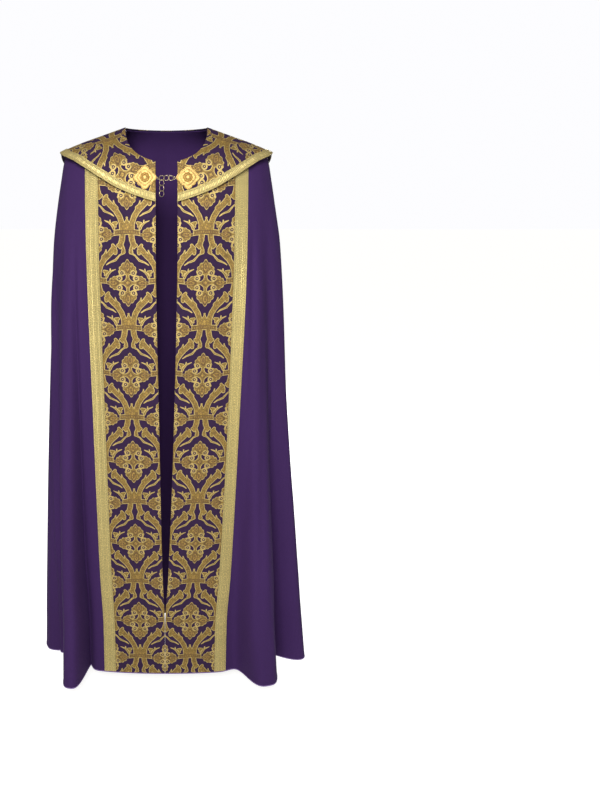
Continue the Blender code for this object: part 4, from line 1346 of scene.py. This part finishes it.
def unrolled(points):
    """First flat places of half the hood's points: its lines laid out straight, as a fan."""
    along = lengths_along(points)
    flat = np.zeros((*points.shape[:2], 2))
    head, turn = np.zeros(2), -math.pi / 2
    for k in range(points.shape[1] - 1, -1, -1):
        if k < points.shape[1] - 1:
            step = points[0, k] - points[0, k + 1]
            near = np.linalg.norm(step)
            far = np.linalg.norm(points[-1, k] - points[-1, k + 1])
            line = points[1, k + 1] - points[0, k + 1]
            slant = math.acos(np.clip(step @ line / near / np.linalg.norm(line), -1, 1))
            head = head + near * np.array([math.cos(turn + slant), math.sin(turn + slant)])
            turn += (far - near) / along[-1, k : k + 2].mean()
        flat[:, k] = head + along[:, k, None] * np.array([math.cos(turn), math.sin(turn)])
    return flat


def relaxed(points, flat):
    """Flat places moved until each is as far from its neighbours as on the hood."""
    rows, columns = points.shape[:2]
    index = np.arange(rows * columns).reshape(rows, columns)
    pairs = np.concatenate([
        np.stack([first.ravel(), second.ravel()], axis=1)
        for first, second in (
            (index[:, 1:], index[:, :-1]), (index[1:], index[:-1]),
            (index[1:, 1:], index[:-1, :-1]), (index[1:, :-1], index[:-1, 1:]))])
    solid = points.reshape(-1, 3)
    length = np.linalg.norm(solid[pairs[:, 0]] - solid[pairs[:, 1]], axis=1)
    place = flat.reshape(-1, 2).copy()
    held = index[:, -1]
    count = np.bincount(pairs.ravel(), minlength=len(place))[:, None]
    for _ in range(FLATTEN_STEPS):
        way = place[pairs[:, 0]] - place[pairs[:, 1]]
        now = np.linalg.norm(way, axis=1)
        push = way * ((length - now) / np.maximum(now, 1e-9) / 2)[:, None]
        move = np.zeros_like(place)
        for axis in range(2):
            move[:, axis] += np.bincount(pairs[:, 0], push[:, axis], len(place))
            move[:, axis] -= np.bincount(pairs[:, 1], push[:, axis], len(place))
        move = FLATTEN_PACE * move / count
        move[held] = 0
        place += move
    return place.reshape(rows, columns, 2)


def hood_places(points):
    """Places of the hood's points on its flat cloth, which runs on over both shoulders."""
    middle = points.shape[1] // 2 + 1
    half = points[:, :middle]
    flat = relaxed(half, unrolled(half))
    flat[..., 1] += HOOD_CROSS
    other = flat[:, -2::-1] * (-1, 1)
    return np.concatenate([flat, other], axis=1)


def build_hood():
    """Hood and collar in one piece, its dark lining under it and its galloon on its edge."""
    hood_lift = HOOD_LIFT + LINING_WALL + SEWN
    form = hood_layer(0.0)
    places = hood_places(form)
    lining = add_cloth("hood_lining_cloth", hood_layer(HOOD_LIFT), places, LINING_WALL,
                       "dark_lining", stands_for=["hood_lining"])
    hood = add_cloth("hood_cloth", hood_layer(hood_lift), places, HOOD_WALL, "brocade",
                     stands_for=["hood"])
    line = hood_layer(hood_lift + HOOD_WALL + SEWN, only_edge=True)
    across = HOOD_GALLOON / 2 - np.abs(np.linspace(-1, 1, len(line))) * HOOD_GALLOON / 2
    braid_places = chart(across[:, None], lengths_along(line[-1])[None, :])
    braid_edge = add_cloth("hood_galloon_cloth", line, braid_places, GALLOON_WALL, "galloon",
                           stands_for=["hood_galloon"])


def ring_matrix(centre, across, up):
    """Placement of a ring with a centre, whose plane holds two directions."""
    across, up = Vector(across).normalized(), Vector(up).normalized()
    axes = Matrix((across, up, across.cross(up))).transposed().to_4x4()
    return Matrix.Translation(centre) @ axes


def add_ring(name, radius, matrix, body="cope", mouth=0.0):
    """A wire ring: a round section spun about its middle, open at its top by a mouth."""
    shape = bmesh.new()
    place = Matrix.Translation((radius, 0, 0)) @ Matrix.Rotation(math.pi / 2, 4, "X")
    bmesh.ops.create_circle(shape, cap_ends=False, segments=WIRE_SIDES, radius=WIRE_DRAWN,
                            matrix=place)
    wire = list(shape.edges)
    bmesh.ops.rotate(shape, verts=shape.verts, cent=(0, 0, 0),
                     matrix=Matrix.Rotation(math.pi / 2 + mouth / 2, 3, "Z"))
    bmesh.ops.spin(
        shape, geom=wire, cent=(0, 0, 0), axis=(0, 0, 1), angle=2 * math.pi - mouth,
        steps=RING_STEPS, use_merge=mouth == 0.0, use_duplicate=False)
    close_up(shape)
    shape.transform(matrix)
    add_piece(f"{name}_gilt", finished_mesh(name, shape), "chain_metal", body=body,
              stands_for=[name])


def lean(turn):
    """An upward direction that leans out to the front, square to the chain."""
    return (0, -math.sin(turn), math.cos(turn))


def build_chain():
    """Three rings across the opening, with the hook at one end and an eye at the other."""
    level = (CHAIN_OUT, CHAIN_HEIGHT)
    along = (1, 0, 0)
    back = ring_matrix((-REACH, *level), along, lean(CHAIN_TURN))
    add_ring("clasp_hook", EYE_RADIUS, back, mouth=HOOK_MOUTH)
    for i in range(3):
        up = lean(-CHAIN_TURN if i % 2 == 0 else CHAIN_TURN)
        place = ring_matrix(((i - 1) * RING_PITCH, *level), along, up)
        add_ring(f"clasp_ring_{i + 1}", RING_RADIUS, place)
    add_ring("clasp_eye", EYE_RADIUS, ring_matrix((REACH, *level), along, lean(CHAIN_TURN)))


def build_tail():
    """Three spare rings that hang from the chain's first ring, one from another."""
    bottom = Vector((-RING_PITCH, CHAIN_OUT, CHAIN_HEIGHT))
    bottom += Vector((0, -math.sin(CHAIN_TURN), -math.cos(CHAIN_TURN))) * RING_RADIUS
    for i in range(3):
        turn = TAIL_TURN if i % 2 == 0 else -TAIL_TURN
        centre = bottom - Vector((0, 0, i * TAIL_PITCH + TAIL_RADIUS - CLEAR))
        place = ring_matrix(centre, (math.cos(turn), math.sin(turn), 0), (0, 0, 1))
        name = f"tail_ring_{i + 1}"
        add_ring(name, TAIL_RADIUS, place, body=name)


def plate_radius(turn):
    """Outline of a clasp plate: round lobes at the points and sides of a diamond."""
    off = (turn + math.pi / 4) % (math.pi / 2) - math.pi / 4
    reach = PLATE_DIAMOND / (math.cos(off) + abs(math.sin(off)))
    for lobe, tip, turned in ((PLATE_LOBE, PLATE_SIZE / 2, off),
                              (PLATE_SIDE_LOBE, PLATE_SIDE_REACH, math.pi / 4 - abs(off))):
        inside = lobe**2 - ((tip - lobe) * math.sin(turned)) ** 2
        if inside > 0:
            reach = max(reach, (tip - lobe) * math.cos(turned) + math.sqrt(inside))
    return reach


def front_of_hood(x, height):
    """Point of the hood's form on its front at a distance from the middle."""
    angle = angle_at(np.array(x) / section(HOOD_SECTIONS, "half_width", height))
    return Vector(on_section(HOOD_SECTIONS, angle, np.array(height))[0])


def plate_seat(side):
    """Placement of a clasp plate, flat on the collar beside the chain's end."""
    middle = REACH + EYE_RADIUS + WIRE_RADIUS + PLATE_SIZE / 2
    step = 0.001
    seat = front_of_hood(middle, PLATE_HEIGHT)
    across = front_of_hood(middle + step, PLATE_HEIGHT) - seat
    up = (front_of_hood(middle, PLATE_HEIGHT + step) - seat).normalized()
    out = across.cross(up).normalized()
    up, out, seat = (axis * Vector((side, 1, 1)) for axis in (up, out, seat))
    lift = HOOD_LIFT + LINING_WALL + SEWN + HOOD_WALL + PLATE_SEAT
    axes = Matrix((up.cross(out), up, out)).transposed().to_4x4()
    return Matrix.Translation(seat + out * lift) @ axes


def build_plates():
    """Gilt plates: rim, leafy field and a round boss, raised ring by ring from the outline."""
    for side, name in SIDES:
        shape = bmesh.new()
        rings = [
            bmesh.ops.create_circle(shape, segments=PLATE_POINTS, radius=1)["verts"]
            for _ in PLATE_RELIEF
        ]
        for ring, level in zip(rings, table_rows(PLATE_RELIEF, PLATE_COLUMNS)):
            on_leaves = 0.2 < level["round"] < 0.9
            leaf_rise = PLATE_LEAF_RISE if on_leaves else 0.0
            for i, vertex in enumerate(ring):
                turn = 2 * math.pi * i / PLATE_POINTS
                own = plate_radius(turn)
                round_own = PLATE_SIZE / 2 * PLATE_ROUND
                out = (own + (round_own - own) * level["round"]) * level["scale"]
                height = level["height"] + leaf_rise * math.cos(PLATE_LEAVES * turn)
                vertex.co = (out * math.cos(turn), out * math.sin(turn), height)
        for lower, upper in zip(rings, rings[1:]):
            edges = {edge for ring in (lower, upper) for vertex in ring
                     for edge in vertex.link_edges if edge.other_vert(vertex) in ring}
            bmesh.ops.bridge_loops(shape, edges=list(edges))
        close_up(shape)
        shape.transform(plate_seat(side))
        node = f"clasp_plate_{name}"
        made = add_piece(f"{node}_gilt", finished_mesh(node, shape), "gilt_metal",
                         stands_for=[node])
        round_edges(made, PLATE_EDGE)


def add_light(name, size, power, place):
    """A soft square studio light, turned to the middle of the cope."""
    lamp = bpy.data.lights.new(name, "AREA")
    lamp.size = size
    lamp.energy = power
    made = bpy.data.objects.new(name, lamp)
    bpy.context.scene.collection.objects.link(made)
    made.location = place
    way = Vector(LIGHTS_AIM) - Vector(place)
    made.rotation_euler = way.to_track_quat("-Z", "Y").to_euler()


def build_stage():
    """Pale plain floor, soft studio light and the camera."""
    shape = bmesh.new()
    bmesh.ops.create_grid(shape, x_segments=FLOOR_SQUARES, y_segments=FLOOR_SQUARES,
                          size=FLOOR_HALF)
    level = HEM - bpy.context.scene.cope_sizes.floor_drop
    bmesh.ops.translate(shape, verts=shape.verts, vec=(0, 0, level))
    floor = bpy.data.objects.new("floor", finished_mesh("floor", shape))
    floor.data.materials.append(finish("pale_floor"))
    bpy.context.scene.collection.objects.link(floor)
    world = bpy.data.worlds.new("studio")
    bpy.context.scene.world = world
    world.use_nodes = True
    bench = Bench(world.node_tree)
    backdrop = world.node_tree.nodes["Background"].inputs
    backdrop["Color"].default_value = (*BACKDROP, 1)
    bench.feed(backdrop["Strength"], glow(bench, *BACKDROP_GLOWS))
    for name, light in zip(LIGHTS, table_rows(LIGHTS, LIGHT_COLUMNS)):
        add_light(name, **light)
    bpy.context.scene.view_settings.view_transform = "Standard"
    lens = bpy.data.cameras.new("camera")
    lens.sensor_fit = "VERTICAL"
    lens.sensor_height = SENSOR_HEIGHT
    lens.lens = LENS_LENGTH
    lens.shift_x = LENS_SHIFT
    camera = bpy.data.objects.new("camera", lens)
    bpy.context.scene.collection.objects.link(camera)
    camera.location = CAMERA_PLACE
    camera.rotation_euler = CAMERA_TURN
    bpy.context.scene.camera = camera


# ---------------------------------------------------------------- operators and panel
class CopeMantle(Operator):
    """Build the two halves of the plain purple cloth and the satin edge of the hem"""

    bl_idname = "cope.mantle"
    bl_label = "Mantle"

    def execute(self, context):
        build_mantle()
        return {"FINISHED"}


class CopeBands(Operator):
    """Build the brocade orphreys and the galloons beside them"""

    bl_idname = "cope.bands"
    bl_label = "Orphreys and galloons"

    def execute(self, context):
        build_bands()
        return {"FINISHED"}


class CopeHood(Operator):
    """Build the hood with its collar, its lining and the galloon on its edge"""

    bl_idname = "cope.hood"
    bl_label = "Hood"

    def execute(self, context):
        build_hood()
        return {"FINISHED"}


class CopeClasp(Operator):
    """Build the clasp: two gilt plates, the hook, the eye and three rings"""

    bl_idname = "cope.clasp"
    bl_label = "Clasp"

    def execute(self, context):
        build_plates()
        build_chain()
        return {"FINISHED"}


class CopeTail(Operator):
    """Build the spare rings that hang from the clasp's chain"""

    bl_idname = "cope.tail"
    bl_label = "Spare rings"

    def execute(self, context):
        build_tail()
        return {"FINISHED"}


class CopeStage(Operator):
    """Build the floor, the lights and the camera"""

    bl_idname = "cope.stage"
    bl_label = "Stage"

    def execute(self, context):
        build_stage()
        return {"FINISHED"}


STEPS = (CopeMantle, CopeBands, CopeHood, CopeClasp, CopeTail, CopeStage)


class CopePanel(Panel):
    """The cope's pieces, sizes and colours"""

    bl_idname = "VIEW3D_PT_cope"
    bl_label = "Cope"
    bl_space_type = "VIEW_3D"
    bl_region_type = "UI"
    bl_category = "Cope"

    def draw(self, context):
        for step in STEPS:
            self.layout.operator(step.bl_idname)
        for group in (context.scene.cope_sizes, context.scene.cope_colours):
            box = self.layout.box()
            for name in group.__annotations__:
                box.prop(group, name)


CLASSES = (CopeSizes, CopeColours, *STEPS, CopePanel)


def register():
    for kind in CLASSES:
        bpy.utils.register_class(kind)
    bpy.types.Scene.cope_sizes = PointerProperty(type=CopeSizes)
    bpy.types.Scene.cope_colours = PointerProperty(type=CopeColours)


def unregister():
    del bpy.types.Scene.cope_colours
    del bpy.types.Scene.cope_sizes
    for kind in reversed(CLASSES):
        bpy.utils.unregister_class(kind)


def main():
    register()
    for name in ("mantle", "bands", "hood", "clasp", "tail", "stage"):
        getattr(bpy.ops.cope, name)()


if __name__ == "__main__":
    main()
